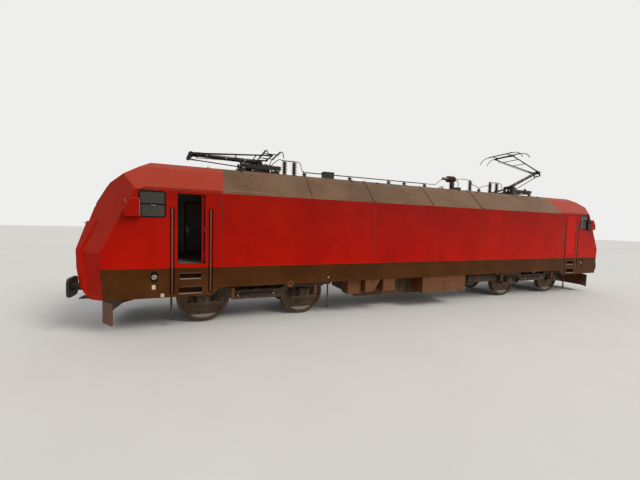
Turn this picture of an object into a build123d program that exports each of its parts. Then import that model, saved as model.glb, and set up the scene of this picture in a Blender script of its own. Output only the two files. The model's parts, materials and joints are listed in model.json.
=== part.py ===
from build123d import *
import math
import os

# Electric locomotive, four axles in two bogies, a cab at each end. Millimetres.
# +X runs along the vehicle to its right end, -Y is the near side, +Z is up.
# Heights are given above the rail top; store() then lifts each piece, so that the flanges stand at Z = 0.

# Track and wheels
wheel_diameter = 1250
axle_height = wheel_diameter / 2
wheel_back_gap = 1360
wheel_width = 135
flange_depth = 28
flange_width = 32
rim_depth = 75
tread_fall = 6
web_width = 62
axle_radius = 95
journal_radius = 75
hub_radius = 150
hub_width = 190

# Body heights and widths
half_width = 1475
wall = 80
seat_gap = 0.3
corner_steps = 3
floor_clearance = 140
floor_bottom = wheel_diameter + floor_clearance
floor_thick = 100
floor_top = floor_bottom + floor_thick
cab_floor_thick = 80
cab_floor_top = floor_top + cab_floor_thick
bulkhead_thick = 60
band_bottom = 990
skirt_bottom = 815
skirt_ramp = 230
roof_height = 3950
roof_flat_half = 720
roof_edge_half = 950
roof_edge_drop = 140
roof_edge_height = roof_height - roof_edge_drop
shoulder_drop = 700
shoulder_height = roof_height - shoulder_drop

# Nose, at the right end: the outline of its middle, from the roof down
body_length = 18700
nose_tip = body_length / 2
nose_backs = (1330, 1080, 590, 270, 0, 0, 60, 265)
nose_drops = (0, 190, 550, 1150)
nose_rises = (1900, 1500, 1100)
nose_heights = [roof_height - drop for drop in nose_drops] + list(nose_rises) + [skirt_bottom]
nose_line = [(nose_tip - back, height) for back, height in zip(nose_backs, nose_heights)]
windscreen_line = 2
crease_backs = (1060, 480, 560)
crease_top_drop = 190
crease_top = (nose_tip - crease_backs[0], shoulder_height - crease_top_drop)
crease_fold_height = 1820
crease_fold = (nose_tip - crease_backs[1], crease_fold_height)
crease_foot = (nose_tip - crease_backs[2], skirt_bottom)
chamfer_run = 510
chamfer_in = 395
chamfer_rise = 80
snout_proud = 32
snout_half = 1190
snout_top = 2520

# Side window and mirror
window_post = 144
window_length = 546
window_height = 604
window_head_drop = 22
window_front = crease_top[0] - window_post
window_rear = window_front - window_length
window_head = shoulder_height - window_head_drop
window_sill = window_head - window_height
window_corner = 75
window_rubber = 32
window_bar = 34
pane_thick = 12
frame_proud = 5
frame_deep = 40
mirror_runs = (-46, 254, 254, 109, -46)
mirror_rises = (16, 16, 191, 416, 416)
mirror_depth = 120
mirror_off = 14
mirror_edge = 10
mirror_foot_run = (19, 204)
mirror_foot_rise = (96, 276)

# Doors
door_post = 228
door_width = 599
door_front = window_rear - door_post
door_rear = door_front - door_width
sill_lip = 8
door_sill = cab_floor_top + sill_lip
door_head_drop = 56
door_head = shoulder_height - door_head_drop
leaf_thick = 50
leaf_gap = 8
leaf_swing_gap = 10
leaf_set_back = 5
hinge_offset = 16
hinge_radius = 14
hinge_height = 60
lug_height = 30
hinge_rise = 172
hinge_drop = 244
hinge_places = (door_sill + hinge_rise, door_head - hinge_drop)
handle_rise = 822
handle_reach = 60
lock_rise = 216

# Where the cab meets the machine room's walls and hoods
cab_rear_post = 403
hood_end = door_rear - cab_rear_post
hood_joint = 2150
hood_joint_gap = 12
machine_gap = 220
machine_half_width = 950

# Windscreen
screen_inset = 175
screen_half = half_width - chamfer_in - screen_inset
screen_post = 70
screen_height = 560
screen_corner = 60

# Hand rails beside the doors and under the windscreen
rail_off_rear = 118
rail_off_front = 108
rail_places = (door_rear - rail_off_rear, door_front + rail_off_front)
rail_foot_drop = 90
rail_foot = band_bottom - rail_foot_drop
rail_head_drop = 349
rail_head = door_head - rail_head_drop
rail_radius = 16
rail_foot_half = 10
rail_axis_in = 20
rail_slot_width = 104
rail_slot_depth = 62
rail_slot_spare = 22
front_rail_drop = 376
front_rail_half = 820
front_rail_off = 85
front_rail_radius = 13
front_rail_foot = 18

# Steps under the doors, the upper one first, and the socket's recess beside them
step_rear_in = (91, 71)
step_front_in = (49, 33)
step_heights = (145, 167)
step_drop = 361
step_lift = 60
step_lows = (door_sill - step_drop, skirt_bottom + step_lift)
step_depth = 215
step_wall = 20
socket_run = 473
socket_height = 1298
socket_size = (150, 257)
socket_depth = 30

# Rain gutter over the cab side
gutter_rise = 50
gutter_height = shoulder_height + gutter_rise
gutter_back = 146
gutter_front = window_front - gutter_back
gutter_run = 150
gutter_fall = 75
gutter_start = 30
gutter_proud = 22
gutter_thick = 18

# Buffers, buffer beam and draw gear
buffer_overhang = 200
buffer_face = nose_tip + buffer_overhang
buffer_length = 620
beam_face = buffer_face - buffer_length
buffer_spread = 875
buffer_height = 1050
buffer_plate_half = 165
buffer_plate_thick = 25
buffer_head_size = (550, 430)
buffer_head_thick = 45
buffer_head_corner = 110
plunger_radius = 88
sleeve_radius = 108
sleeve_length = 330
buffer_hole_spare = 25
beam_thick = 80
beam_inset = 295
beam_drop = 200
beam_rise = 240
beam_low = buffer_height - beam_drop
beam_high = buffer_height + beam_rise
tread_gap = 4
tread_thick = 20
tread_run = (190, 440)
tread_half = 150
hook_slot_half = 170
hook_slot_rise = 150
sill_inner = 250
sill_width = 130
sill_reach = 980
guard_run = (-230, 30, 110)
guard_inset = (205, 545)
guard_thick = 22
guard_low = 190
guard_high = 700
guard_bracket_place = 680
guard_bracket_half = 20
guard_bracket_run = 35
guard_bracket_drop = (10, 140)

# Lamps
lamp_spread = 760
lamp_drop = 340
lamp_size = (360, 150)
lamp_proud = 14
lamp_seat = 30
top_lamp_size = (260, 110)

# Cab furniture: the desk's outline is (behind the nose tip, over the floor)
desk_backs = (1020, 1020, 880, 450, 50, 50)
desk_rises = (0, 720, 810, 990, 990, 0)
desk_side_gap = 115
desk_knee_backs = (1050, 630)
desk_knee_rises = (60, 560)
desk_knee_half = 290
seat_back = 1390
seat_side = 470
seat_post_radius = 55
seat_foot_half = 190
seat_foot_thick = 30
seat_half = (240, 235)
seat_rise = 400
seat_thick = 110
seat_back_runs = (250, 150, 210, 300)
seat_back_rises = (420, 420, 1120, 1120)
seat_back_half = 225

# Bogies
axle_half_base = 1325
beam_gap = 115
beam_width = 150
beam_inner = wheel_back_gap / 2 + wheel_width + beam_gap
beam_outer = beam_inner + beam_width
journal_short = 15
journal_end = beam_outer - journal_short
box_half_length = 150
box_half_height = 140
box_wing = 380
box_wing_drop = 125
box_wing_low = axle_height - box_wing_drop
box_wing_thick = 60
box_cover_radius = 115
box_cover_proud = 20
journal_clearance = 0.5
crank_gap = 65
beam_bend = 240
beam_crank = axle_half_base - box_wing - crank_gap
beam_mid_half = beam_crank - beam_bend
beam_tail = 195
beam_end = axle_half_base + box_wing + beam_tail
beam_tip_fall = 20
beam_mid_drop = 55
beam_mid_rise = 185
beam_end_rise = 385
beam_mid_low = axle_height - beam_mid_drop
beam_mid_high = axle_height + beam_mid_rise
beam_end_high = axle_height + beam_end_rise
transom_half = 330
transom_inset = 20
pivot_radius = 120
pivot_clearance = 30
pivot_foot_rise = 70
spring_place = 275
primary_radius = 69
secondary_radius = 115
secondary_pitch = 330
secondary_in = 80
motor_inset = 580
motor_place = axle_half_base - motor_inset
motor_radius = 265
motor_half = 430
motor_rise = 65
motor_height = axle_height + motor_rise
motor_nose_half = 200
gear_case_width = 150
gear_case_place = 500
gear_wheel_radius = 240
pinion_radius = 200
gear_link_half = 230
pinion_link_half = 190
axle_bore_gap = 6
sander_gap = 160
sander_box_half = 60
sander_low = 150
sander_radius = 24
sander_place = beam_end + sander_gap
underfloor_half = 3355
pivot_place = underfloor_half + sander_place + sander_box_half

# Between the bogies: the transformer tank and the boxes in front of it
tank_ends = (-2420, 1510)
tank_half_width = 930
tank_low = 380
box_gap = 30
box_ends = (-320, 560, 1490)
box_low = 470
small_box_ends = (-1790, -1360)
small_box_in = 70
small_box_low = 630
rear_box_length = 460
rear_box_gap = 20
rear_box_sides = (900, 1300)
rear_box_low = 560
box_face_inset = 25
box_back_gap = 15
box_back_half = half_width - wall - box_back_gap
box_seam = 10
gusset_ends = (-2400, -1890)
gusset_bend = -2110
gusset_fall = 360
gusset_inset = 20
gusset_width = 300
reservoir_radius = 165
reservoir_dish = 50
reservoir_out = 1080
reservoir_height = 800
reservoir_gap = 320
reservoir_end_gap = 45
strap_half = (30, 120)

# Roof gear: places of the posts along the roof, the short and the tall kind
post_row = -180
tall_post_height = 480
short_post_height = 190
foot_post_height = 130
foot_post_inset = 95
tall_posts = (-4560, -4260, 2880, 3960, 4330)
short_posts = (-3930, -2370, -870, -220, 670, 3360)
rib_radius = 82
bar_radius = 16
bar_overhang = 60
breaker_place = 1960
breaker_base = (300, 420, 170, 60)
breaker_post_height = 300
breaker_radius = 95
breaker_reach = 620
breaker_front = 130
blade_place = 1330
antenna_places = [(6690, -80, 62, 150), (6960, 120, 40, 80)]

# Pantographs, at the right end: pivots as (x, height), arm lengths, and angles above the level
arm_pivot_place = 5300
arm_pivot_rise = 400
arm_pivot = (arm_pivot_place, roof_height + arm_pivot_rise)
lower_arm_length = 1840
upper_arm_length = 2145
lower_angle_up = 24.4
upper_angle_up = 12.2
lower_angle_down = 1.5
upper_angle_down = 3
rod_pivot_run = 100
rod_pivot_drop = 200
rod_pivot = (arm_pivot[0] + rod_pivot_run, arm_pivot[1] - rod_pivot_drop)
lever_run = 66
lever_drop = 146
base_rail_size = (70, 110)
base_plate_thick = 30
base_back = 540
base_front = 600
base_length = (arm_pivot[0] - base_back, arm_pivot[0] + base_front)
base_half = 520
cheek_gap = 30
cheek_thick = 40
rod_cheek_half = 44
rod_cheek_thick = 18
lower_arm_radius = 58
knee_radius = 62
knee_half = 150
upper_tube_radius = 24
upper_spread = 400
rod_radius = 16
rod_eye_half = 22
head_strip_half = 560
head_half = 975
head_strip_gap = 420
head_strip_size = (46, 34)
head_rise = 70
horn_drop = 240
head_tube_radius = 15
pin_gap = 0.4
open_eye_gap = 8
rod_eye_radius = 36
shaft_radius = 26
knee_pin_radius = 22
eye_pin_radius = 12


def block(x, y, z):
    """A block between two corners, each axis as (low, high)."""
    middle = ((x[0] + x[1]) / 2, (y[0] + y[1]) / 2, (z[0] + z[1]) / 2)
    return Pos(*middle) * Box(x[1] - x[0], y[1] - y[0], z[1] - z[0])


def across(outline, y):
    """A plate whose outline is (x, height), between two places across the vehicle."""
    face = Face(Wire.make_polygon([(px, y[0], pz) for px, pz in outline]))
    return extrude(face, amount=y[1] - y[0], dir=(0, 1, 0))


def along(outline, x):
    """A bar whose outline is (y, height), between two places along the vehicle."""
    face = Face(Wire.make_polygon([(x[0], py, pz) for py, pz in outline]))
    return extrude(face, amount=x[1] - x[0], dir=(1, 0, 0))


def upright(outline, z):
    """A plate whose outline is (x, y), between two heights."""
    face = Face(Wire.make_polygon([(px, py, z[0]) for px, py in outline]))
    return extrude(face, amount=z[1] - z[0], dir=(0, 0, 1))


def rod(start, end, radius):
    """A round bar from one point to another."""
    line = Vector(*end) - Vector(*start)
    return Part(Solid.make_cylinder(radius, line.length, Plane(origin=start, z_dir=line)).wrapped)


def bar(start, end, radius, sides=8):
    """A bar with flats from one point to another, for what nothing turns on."""
    line = Vector(*end) - Vector(*start)
    sketch = Plane(origin=start, z_dir=line) * RegularPolygon(radius, sides)
    return extrude(sketch, amount=line.length, dir=line.normalized())


def turned(outline, place, axis):
    """A body of revolution: its outline is (distance along the axis, radius), both ends on the axis."""
    sideways = (1, 0, 0) if axis[0] == 0 else (0, 0, 1)
    plane = Plane(origin=place, x_dir=axis, z_dir=sideways)
    points = [plane.from_local_coords((along_axis, radius, 0)) for along_axis, radius in outline]
    face = Face(Wire.make_polygon(points))
    return revolve(face, axis=Axis(place, axis))


def pad(plane, size, corner, low, high):
    """A slab on a plane, its corners rounded in short flats, between two distances along its normal."""
    half_x, half_y = size[0] / 2 - corner, size[1] / 2 - corner
    points = []
    for quarter, (way_x, way_y) in enumerate([(1, 1), (-1, 1), (-1, -1), (1, -1)]):
        for step in range(corner_steps + 1):
            turn = math.radians(90 * (quarter + step / corner_steps))
            x = way_x * half_x + corner * math.cos(turn)
            points.append(plane.from_local_coords((x, way_y * half_y + corner * math.sin(turn), low)))
    face = Face(Wire.make_polygon(points))
    return extrude(face, amount=high - low, dir=plane.z_dir)


def other_side(shape):
    return mirror(shape, about=Plane.XZ)


def other_end(shape):
    return mirror(shape, about=Plane.YZ)


def both_sides(shapes):
    return shapes + [other_side(shape) for shape in shapes]


def both_ends(shapes):
    return shapes + [other_end(shape) for shape in shapes]


def store(node, shapes):
    """Write the solids of one node, standing on the wheel flanges."""
    solids = []
    for shape in shapes:
        solids += shape.solids()
    lifted = [solid.moved(Location((0, 0, flange_depth))) for solid in solids]
    export_step(Compound(lifted), f"parts/{node}.step")


# Body sections and the cab's form

def cab_faces():
    """The flat faces that cut the right cab's form, each as a point on it and its outward direction."""
    faces = []
    run = Vector(chamfer_run, chamfer_in, chamfer_rise)
    fold = Vector(crease_fold[0], -half_width, crease_fold[1])
    for crease in (crease_top, crease_foot):
        lean = (crease[0] - crease_fold[0]) / (crease[1] - crease_fold[1])
        faces.append((fold, run.cross(Vector(lean, 0, 1))))
    roof_slope = Vector(0, shoulder_height - roof_edge_height, half_width - roof_edge_half)
    faces.append((Vector(0, -half_width, shoulder_height), roof_slope))
    roof_bevel = Vector(0, roof_edge_height - roof_height, roof_edge_half - roof_flat_half)
    faces.append((Vector(0, -roof_edge_half, roof_edge_height), roof_bevel))
    mirrored = [(Vector(p.X, -p.Y, p.Z), Vector(n.X, -n.Y, n.Z)) for p, n in faces]
    front = []
    for upper, lower in zip(nose_line, nose_line[1:]):
        front.append((Vector(upper[0], 0, upper[1]), Vector(upper[1] - lower[1], 0, lower[0] - upper[0])))
    return faces + mirrored + front


def cab_form(inset):
    """The right cab as a solid form, every outer face moved in by the inset."""
    side = half_width - inset
    form = block((hood_end, buffer_face), (-side, side), (skirt_bottom, roof_height - inset))
    for point, outward in cab_faces():
        face = Plane(origin=point - outward.normalized() * inset, z_dir=outward)
        form = split(form, bisect_by=face, keep=Keep.BOTTOM)
    return form


def inner_cab():
    """The space inside the right cab's walls, less the gap that inner pieces keep."""
    return cab_form(wall + seat_gap)


def nose_plane(index, drop, y, outset=0):
    """A plane on one of the nose's front faces, a distance below its upper edge, local X across."""
    upper = Vector(nose_line[index][0], y, nose_line[index][1])
    lower = Vector(nose_line[index + 1][0], y, nose_line[index + 1][1])
    down = (lower - upper).normalized()
    outward = Vector(-down.Z, 0, down.X)
    return Plane(origin=upper + down * drop + outward * outset, x_dir=(0, 1, 0), z_dir=outward)


def nose_face_length(index):
    upper, lower = nose_line[index], nose_line[index + 1]
    return math.hypot(lower[0] - upper[0], lower[1] - upper[1])


def side_plane(x, height):
    """A plane on the near side, local X along the vehicle, normal out of it."""
    return Plane(origin=(x, -half_width, height), x_dir=(1, 0, 0), z_dir=(0, -1, 0))


def window_set(plane, size, corner):
    """The hole, rubber frame and pane of a window on a plane."""
    hole = pad(plane, size, corner, -wall * 2, wall)
    outer = (size[0] - 2 * seat_gap, size[1] - 2 * seat_gap)
    sight = (size[0] - 2 * window_rubber, size[1] - 2 * window_rubber)
    glass = (sight[0] - 2 * seat_gap, sight[1] - 2 * seat_gap)
    ring = pad(plane, outer, corner - seat_gap, -frame_deep, frame_proud)
    ring -= pad(plane, sight, corner - window_rubber, -frame_deep - 1, frame_proud + 1)
    pane = pad(plane, glass, corner - window_rubber, -pane_thick * 2, -pane_thick)
    return hole, ring, pane


def side_window():
    middle = ((window_rear + window_front) / 2, (window_sill + window_head) / 2)
    size = (window_front - window_rear, window_head - window_sill)
    plane = side_plane(*middle)
    hole, ring, pane = window_set(plane, size, window_corner)
    bar_length = size[0] - 2 * window_rubber
    bar = pad(plane, (bar_length, window_bar), 1, -pane_thick + seat_gap, frame_proud)
    return hole, ring + bar, pane


def windscreen_halves():
    """The two halves of the windscreen, each with its hole, frame and pane."""
    width = screen_half - screen_post / 2
    middle = screen_post / 2 + width / 2
    drop = nose_face_length(windscreen_line) / 2
    sets = []
    for y in (-middle, middle):
        sets.append(window_set(nose_plane(windscreen_line, drop, y), (width, screen_height), screen_corner))
    return sets


def rail_slot(x):
    middle = (rail_foot + rail_head) / 2
    height = rail_head - rail_foot + 2 * rail_slot_spare
    return pad(side_plane(x, middle), (rail_slot_width, height), rail_slot_width / 3, -rail_slot_depth, 1)


def step_niche(index, spare=0):
    """A step's niche in the near side, or the box round it where spare is its wall."""
    x = (door_rear + step_rear_in[index] - spare, door_front - step_front_in[index] + spare)
    y = (-half_width + (wall / 2 if spare else -1), -half_width + step_depth + spare)
    return block(x, y, (step_lows[index] - spare, step_lows[index] + step_heights[index] + spare))


def door_hole():
    return block((door_rear, door_front), (-half_width - 1, -half_width + wall + 1), (door_sill, door_head))


def hinge_axis():
    """Where the near door of the right cab turns, as (x, y)."""
    inner_face = -half_width + leaf_set_back + leaf_thick
    return door_rear + leaf_gap * 2, inner_face + hinge_offset


def hinge_lugs():
    """The cab's lugs above and below each hinge barrel of the near door."""
    x, y = hinge_axis()
    lugs = []
    for place in hinge_places:
        for low in (place - seat_gap - lug_height, place + hinge_height + seat_gap):
            lugs.append(block((door_rear - wall / 2, x), (y - hinge_radius, y + hinge_radius), (low, low + lug_height)))
    return lugs


def buffer_hole(y):
    radius = sleeve_radius + buffer_hole_spare
    return rod((hood_end, y, buffer_height), (buffer_face, y, buffer_height), radius)


def cab_shell():
    """The right cab's welded shell: sides, roof and nose, open to the floor and the machine room."""
    shell = cab_form(0)
    snout = cab_form(-snout_proud)
    snout &= block((hood_end, buffer_face), (-snout_half, snout_half), (skirt_bottom, snout_top))
    shell += snout & block((pivot_place + axle_half_base, buffer_face), (-half_width, half_width), (0, roof_height))
    shell -= cab_form(wall)
    ramp = [(hood_end - 1, skirt_bottom - 1), (hood_end + skirt_ramp, skirt_bottom - 1)]
    ramp += [(hood_end + skirt_ramp / 3, band_bottom), (hood_end - 1, band_bottom)]
    shell -= across(ramp, (-half_width - 1, half_width + 1))
    side_joins = [step_niche(index, spare=step_wall) for index in (0, 1)]
    side_cuts = [step_niche(index) for index in (0, 1)]
    side_cuts += [rail_slot(x) for x in rail_places]
    side_cuts += [door_hole(), side_window()[0]]
    place = (door_front + socket_run, socket_height)
    socket = pad(side_plane(*place), socket_size, socket_size[0] / 2 - 1, -socket_depth, 1)
    side_cuts.append(socket)
    shell += both_sides(side_joins)
    shell -= both_sides(side_cuts)
    shell += both_sides(hinge_lugs())
    shell -= [screen[0] for screen in windscreen_halves()]
    shell -= [buffer_hole(-buffer_spread), buffer_hole(buffer_spread)]
    slot_top = buffer_height + hook_slot_rise
    hook_slot = block((beam_face - sill_reach, buffer_face), (-hook_slot_half, hook_slot_half), (0, slot_top))
    return shell - hook_slot


def hood_outline():
    """The body's section above the shoulder, as (y, height)."""
    side = [(half_width, shoulder_height), (roof_edge_half, roof_edge_height), (roof_flat_half, roof_height)]
    return side + [(-y, z) for y, z in reversed(side)]


def roof_hoods():
    """The three removable hoods over the machine room."""
    edges = [-hood_end, -hood_joint, hood_joint, hood_end]
    hoods = []
    for low, high in zip(edges, edges[1:]):
        start = low if low == -hood_end else low + hood_joint_gap / 2
        end = high if high == hood_end else high - hood_joint_gap / 2
        hoods.append(along(hood_outline(), (start, end)))
    return hoods


def side_wall():
    """The near wall of the machine room, with the band at its foot."""
    return block((-hood_end, hood_end), (-half_width, -half_width + wall), (band_bottom, shoulder_height))


def underframe():
    """The floor between the walls, with buffer beams, end sills and the pivots of the bogies."""
    inner = half_width - wall
    body = block((-hood_end, hood_end), (-inner, inner), (floor_bottom, floor_top))
    seat = floor_top - floor_thick / 2
    beam_back = beam_face - beam_thick
    beam_half = half_width - beam_inset
    end = inner_cab() & block((hood_end, beam_back), (-inner, inner), (floor_bottom, floor_top))
    end += block((beam_back, beam_face), (-beam_half, beam_half), (beam_low, beam_high))
    for y in (sill_inner, -sill_inner - sill_width):
        end += block((beam_face - sill_reach, beam_face - beam_thick / 2), (y, y + sill_width), (beam_low, seat))
    foot = beam_mid_low + pivot_foot_rise
    end += rod((pivot_place, 0, foot), (pivot_place, 0, seat), pivot_radius)
    return body + end + other_end(end)


def cab_floor():
    return inner_cab() & block((hood_end, buffer_face), (-half_width, half_width), (floor_top, cab_floor_top))


def cab_bulkhead():
    room = block((hood_end, hood_end + bulkhead_thick), (-half_width, half_width), (cab_floor_top, roof_height))
    return inner_cab() & room


def drivers_desk():
    """The desk across the cab under the windscreen, with two spaces for knees."""
    side = half_width - desk_side_gap
    outline = [(nose_tip - back, cab_floor_top + rise) for back, rise in zip(desk_backs, desk_rises)]
    desk = inner_cab() & across(outline, (-side, side))
    x = [nose_tip - back for back in desk_knee_backs]
    z = [cab_floor_top + rise for rise in desk_knee_rises]
    knee_space = block(x, (-seat_side - desk_knee_half, -seat_side + desk_knee_half), z)
    return desk - knee_space - other_side(knee_space)


def drivers_seat():
    """The near seat: foot plate, post, cushion and back."""
    x, y, z = nose_tip - seat_back, -seat_side, cab_floor_top
    cushion = (z + seat_rise, z + seat_rise + seat_thick)
    seat = bar((x, y, z), (x, y, cushion[0]), seat_post_radius)
    foot = (z, z + seat_foot_thick)
    seat += block((x - seat_foot_half, x + seat_foot_half), (y - seat_foot_half, y + seat_foot_half), foot)
    seat += block((x - seat_half[0], x + seat_half[0]), (y - seat_half[1], y + seat_half[1]), cushion)
    back = [(x - run, z + rise) for run, rise in zip(seat_back_runs, seat_back_rises)]
    return seat + across(back, (y - seat_back_half, y + seat_back_half))


def door_leaf():
    """The near door of the right cab, closed: leaf, barrels, handle and lock."""
    inner_face = -half_width + leaf_set_back + leaf_thick
    leaf = block(
        (door_rear + leaf_gap, door_front - leaf_swing_gap),
        (inner_face - leaf_thick, inner_face),
        (door_sill + leaf_gap, door_head - leaf_gap),
    )
    x, y = hinge_axis()
    for place in hinge_places:
        leaf += rod((x, y, place), (x, y, place + hinge_height), hinge_radius)
        leaf += block((x - hinge_radius, x + hinge_radius), (inner_face - 5, y), (place, place + hinge_height))
    grip_x = door_front - leaf_swing_gap - handle_reach
    outer_face = inner_face - leaf_thick
    handle_height = door_sill + handle_rise
    lock_height = door_sill + lock_rise
    for inside in (outer_face - 30, inner_face + 18):
        leaf += block((grip_x - handle_reach, grip_x), (inside, inside + 12), (handle_height - 14, handle_height + 14))
    leaf += bar((grip_x, outer_face - 30, handle_height), (grip_x, inner_face + 30, handle_height), 11)
    leaf += bar((grip_x, outer_face - 6, lock_height), (grip_x, outer_face + 5, lock_height), 20)
    return leaf


def open_door(leaf):
    """The near door of the left cab, standing open at a right angle."""
    x, y = hinge_axis()
    closed = other_end(leaf)
    turn = Location((-x, y, 0)) * Location((0, 0, 0), (0, 0, -90)) * Location((x, -y, 0))
    return closed.moved(turn)


def rain_gutter():
    """The lip over the near cab side, bent down in front of the window."""
    start = hood_end + gutter_start
    foot = (gutter_front + gutter_run, gutter_height - gutter_fall)
    low = gutter_height - gutter_thick
    outline = [(start, gutter_height), (gutter_front, gutter_height), foot]
    outline += [(foot[0] - gutter_thick, foot[1] - gutter_thick / 2), (gutter_front - gutter_thick / 2, low)]
    outline.append((start, low))
    return across(outline, (-half_width - gutter_proud, -half_width))


def hand_rail(x):
    """A near side rail in its slot, with a stand-off at each end and at the middle."""
    y = -half_width + rail_axis_in
    back = -half_width + rail_slot_depth
    rail = bar((x, y, rail_foot), (x, y, rail_head), rail_radius)
    for height in (rail_foot + 30, (rail_foot + rail_head) / 2, rail_head - 30):
        rail += block((x - rail_foot_half, x + rail_foot_half), (y, back), (height - rail_foot_half, height + rail_foot_half))
    return rail


def front_rail():
    """The grab rail under the windscreen, on three feet."""
    plane = nose_plane(windscreen_line + 1, front_rail_drop, 0, snout_proud)
    start = plane.from_local_coords((-front_rail_half, 0, front_rail_off))
    end = plane.from_local_coords((front_rail_half, 0, front_rail_off))
    rail = bar(tuple(start), tuple(end), front_rail_radius)
    reach = front_rail_half - front_rail_foot
    for y in (-reach, 0, reach):
        foot = Plane(origin=plane.from_local_coords((y, 0, 0)), x_dir=(0, 1, 0), z_dir=plane.z_dir)
        rail += pad(foot, (front_rail_foot, front_rail_foot), front_rail_foot / 8, 0, front_rail_off)
    return rail


def outside_mirror():
    """The mirror's housing beside the side window, on a foot that stands off the side."""
    face = -half_width - mirror_off
    outline = [(window_front + run, window_sill + rise) for run, rise in zip(mirror_runs, mirror_rises)]
    housing = across(outline, (face - mirror_depth, face))
    housing = chamfer(housing.edges().group_by(Axis.Y)[0], mirror_edge)
    x = [window_front + run for run in mirror_foot_run]
    z = [window_sill + rise for rise in mirror_foot_rise]
    return housing + block(x, (face - 1, -half_width), z)


def head_lamps():
    """The lower lamps at the nose's widest part, and the one over the windscreen."""
    lamps = []
    for y in (-lamp_spread, lamp_spread):
        plane = nose_plane(windscreen_line + 2, lamp_drop, y, snout_proud)
        lamps.append(pad(plane, lamp_size, lamp_size[1] / 2 - 1, 0, lamp_proud))
    index = windscreen_line - 1
    plane = nose_plane(index, nose_face_length(index) / 2, 0)
    lamps.append(pad(plane, top_lamp_size, top_lamp_size[1] / 2 - 1, -lamp_seat, lamp_proud) - cab_form(0))
    return lamps


def buffer(y):
    """A buffer at the right end: foot plate, sleeve, plunger and head."""
    half = buffer_plate_half
    plate = (beam_face, beam_face + buffer_plate_thick)
    shape = block(plate, (y - half, y + half), (buffer_height - half, buffer_height + half))
    shape += rod((beam_face, y, buffer_height), (beam_face + sleeve_length, y, buffer_height), sleeve_radius)
    end = buffer_face - buffer_head_thick / 2
    shape += rod((beam_face, y, buffer_height), (end, y, buffer_height), plunger_radius)
    plane = Plane(origin=(buffer_face, y, buffer_height), x_dir=(0, 1, 0), z_dir=(1, 0, 0))
    return shape + pad(plane, buffer_head_size, buffer_head_corner, -buffer_head_thick, 0)


def draw_gear():
    """Draw hook with its shank, and the shackle of the screw coupling hanging from it."""
    x = beam_face
    z = buffer_height
    hook = [(x, z - 45), (x + 150, z - 45), (x + 230, z - 75), (x + 330, z - 50), (x + 365, z + 30)]
    hook += [(x + 350, z + 120), (x + 300, z + 120), (x + 305, z + 40), (x + 270, z + 5), (x + 215, z + 15)]
    hook += [(x + 190, z + 70), (x, z + 70)]
    shape = across(hook, (-32, 32))
    for y in (-56, 40):
        shape += block((x + 120, x + 170), (y, y + 16), (z - 380, z + 40))
    shape += bar((x + 145, -56, z), (x + 145, 56, z), 20)
    return shape + bar((x + 145, -95, z - 350), (x + 145, 95, z - 350), 26)


def shunter_tread(y):
    """A tread under a buffer, hung from the buffer beam by two side plates."""
    x = beam_face
    top = min(skirt_bottom, beam_low) - tread_gap
    front = x + tread_run[1]
    tread = block((x + tread_run[0], front), (y - tread_half, y + tread_half), (top - tread_thick, top))
    hanger = [(x - beam_thick, beam_low), (x, beam_low), (x + beam_thick / 2, top), (front, top)]
    hanger += [(front, top - tread_thick), (x - beam_thick, top - tread_thick)]
    for side in (y - tread_half, y + tread_half - tread_thick):
        tread += across(hanger, (side, side + tread_thick))
    return tread


def rail_guard():
    """The bent plate over the rails under the buffer beam, with its two brackets."""
    x = beam_face
    sides = [half_width - inset for inset in guard_inset]
    outer = [(x + guard_run[0], -sides[0]), (x + guard_run[1], -sides[1]), (x + guard_run[2], 0)]
    outer += [(px, -y) for px, y in reversed(outer[:2])]
    inner = [(px - guard_thick, y) for px, y in reversed(outer)]
    guard = upright(outer + inner, (guard_low, guard_high))
    high, low = [guard_high - drop for drop in guard_bracket_drop]
    front = x + guard_bracket_run
    bracket = [(x - beam_thick, beam_low), (x, beam_low), (front, high), (front, low), (x - beam_thick, high)]
    for y in (-guard_bracket_place, guard_bracket_place):
        guard += across(bracket, (y - guard_bracket_half, y + guard_bracket_half))
    return guard


# Running gear

def wheelset(x):
    """An axle with its two wheels, the flanges to the inside."""
    tread = wheel_diameter / 2
    inner = wheel_back_gap / 2
    outer = inner + wheel_width
    middle = (inner + outer) / 2
    z = tread
    profile = [
        (0, 0),
        (0, axle_radius),
        (middle - web_width / 2, axle_radius),
        (middle - web_width / 2, tread - rim_depth),
        (inner, tread - rim_depth),
        (inner, tread + flange_depth),
        (inner + flange_width / 2, tread + flange_depth),
        (inner + flange_width, tread),
        (outer, tread - tread_fall),
        (outer, tread - rim_depth),
        (middle + web_width / 2, tread - rim_depth),
        (middle + web_width / 2, hub_radius),
        (middle + hub_width / 2, journal_radius),
        (journal_end, journal_radius),
        (journal_end, 0),
    ]
    half = turned(profile, (x, 0, z), (0, 1, 0))
    return half + other_side(half)


def bogie_frame(x):
    """The frame: two cranked side beams joined by a transom with the pivot's hole."""
    top = [(beam_mid_half, beam_mid_high), (beam_crank, beam_end_high), (beam_end, beam_end_high - beam_tip_fall)]
    foot = [(beam_end, beam_mid_high), (beam_crank, beam_mid_high), (beam_mid_half, beam_mid_low)]
    right = top + foot
    left = [(-px, pz) for px, pz in reversed(right)]
    outline = [(x + px, pz) for px, pz in right + left]
    beam = across(outline, (-beam_outer, -beam_inner))
    height = (beam_mid_low + transom_inset, beam_mid_high - transom_inset)
    frame = block((x - transom_half, x + transom_half), (-beam_inner, beam_inner), height)
    frame += both_sides([beam])
    hole = pivot_radius + pivot_clearance
    return frame - rod((x, 0, 0), (x, 0, beam_mid_high), hole)


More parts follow.
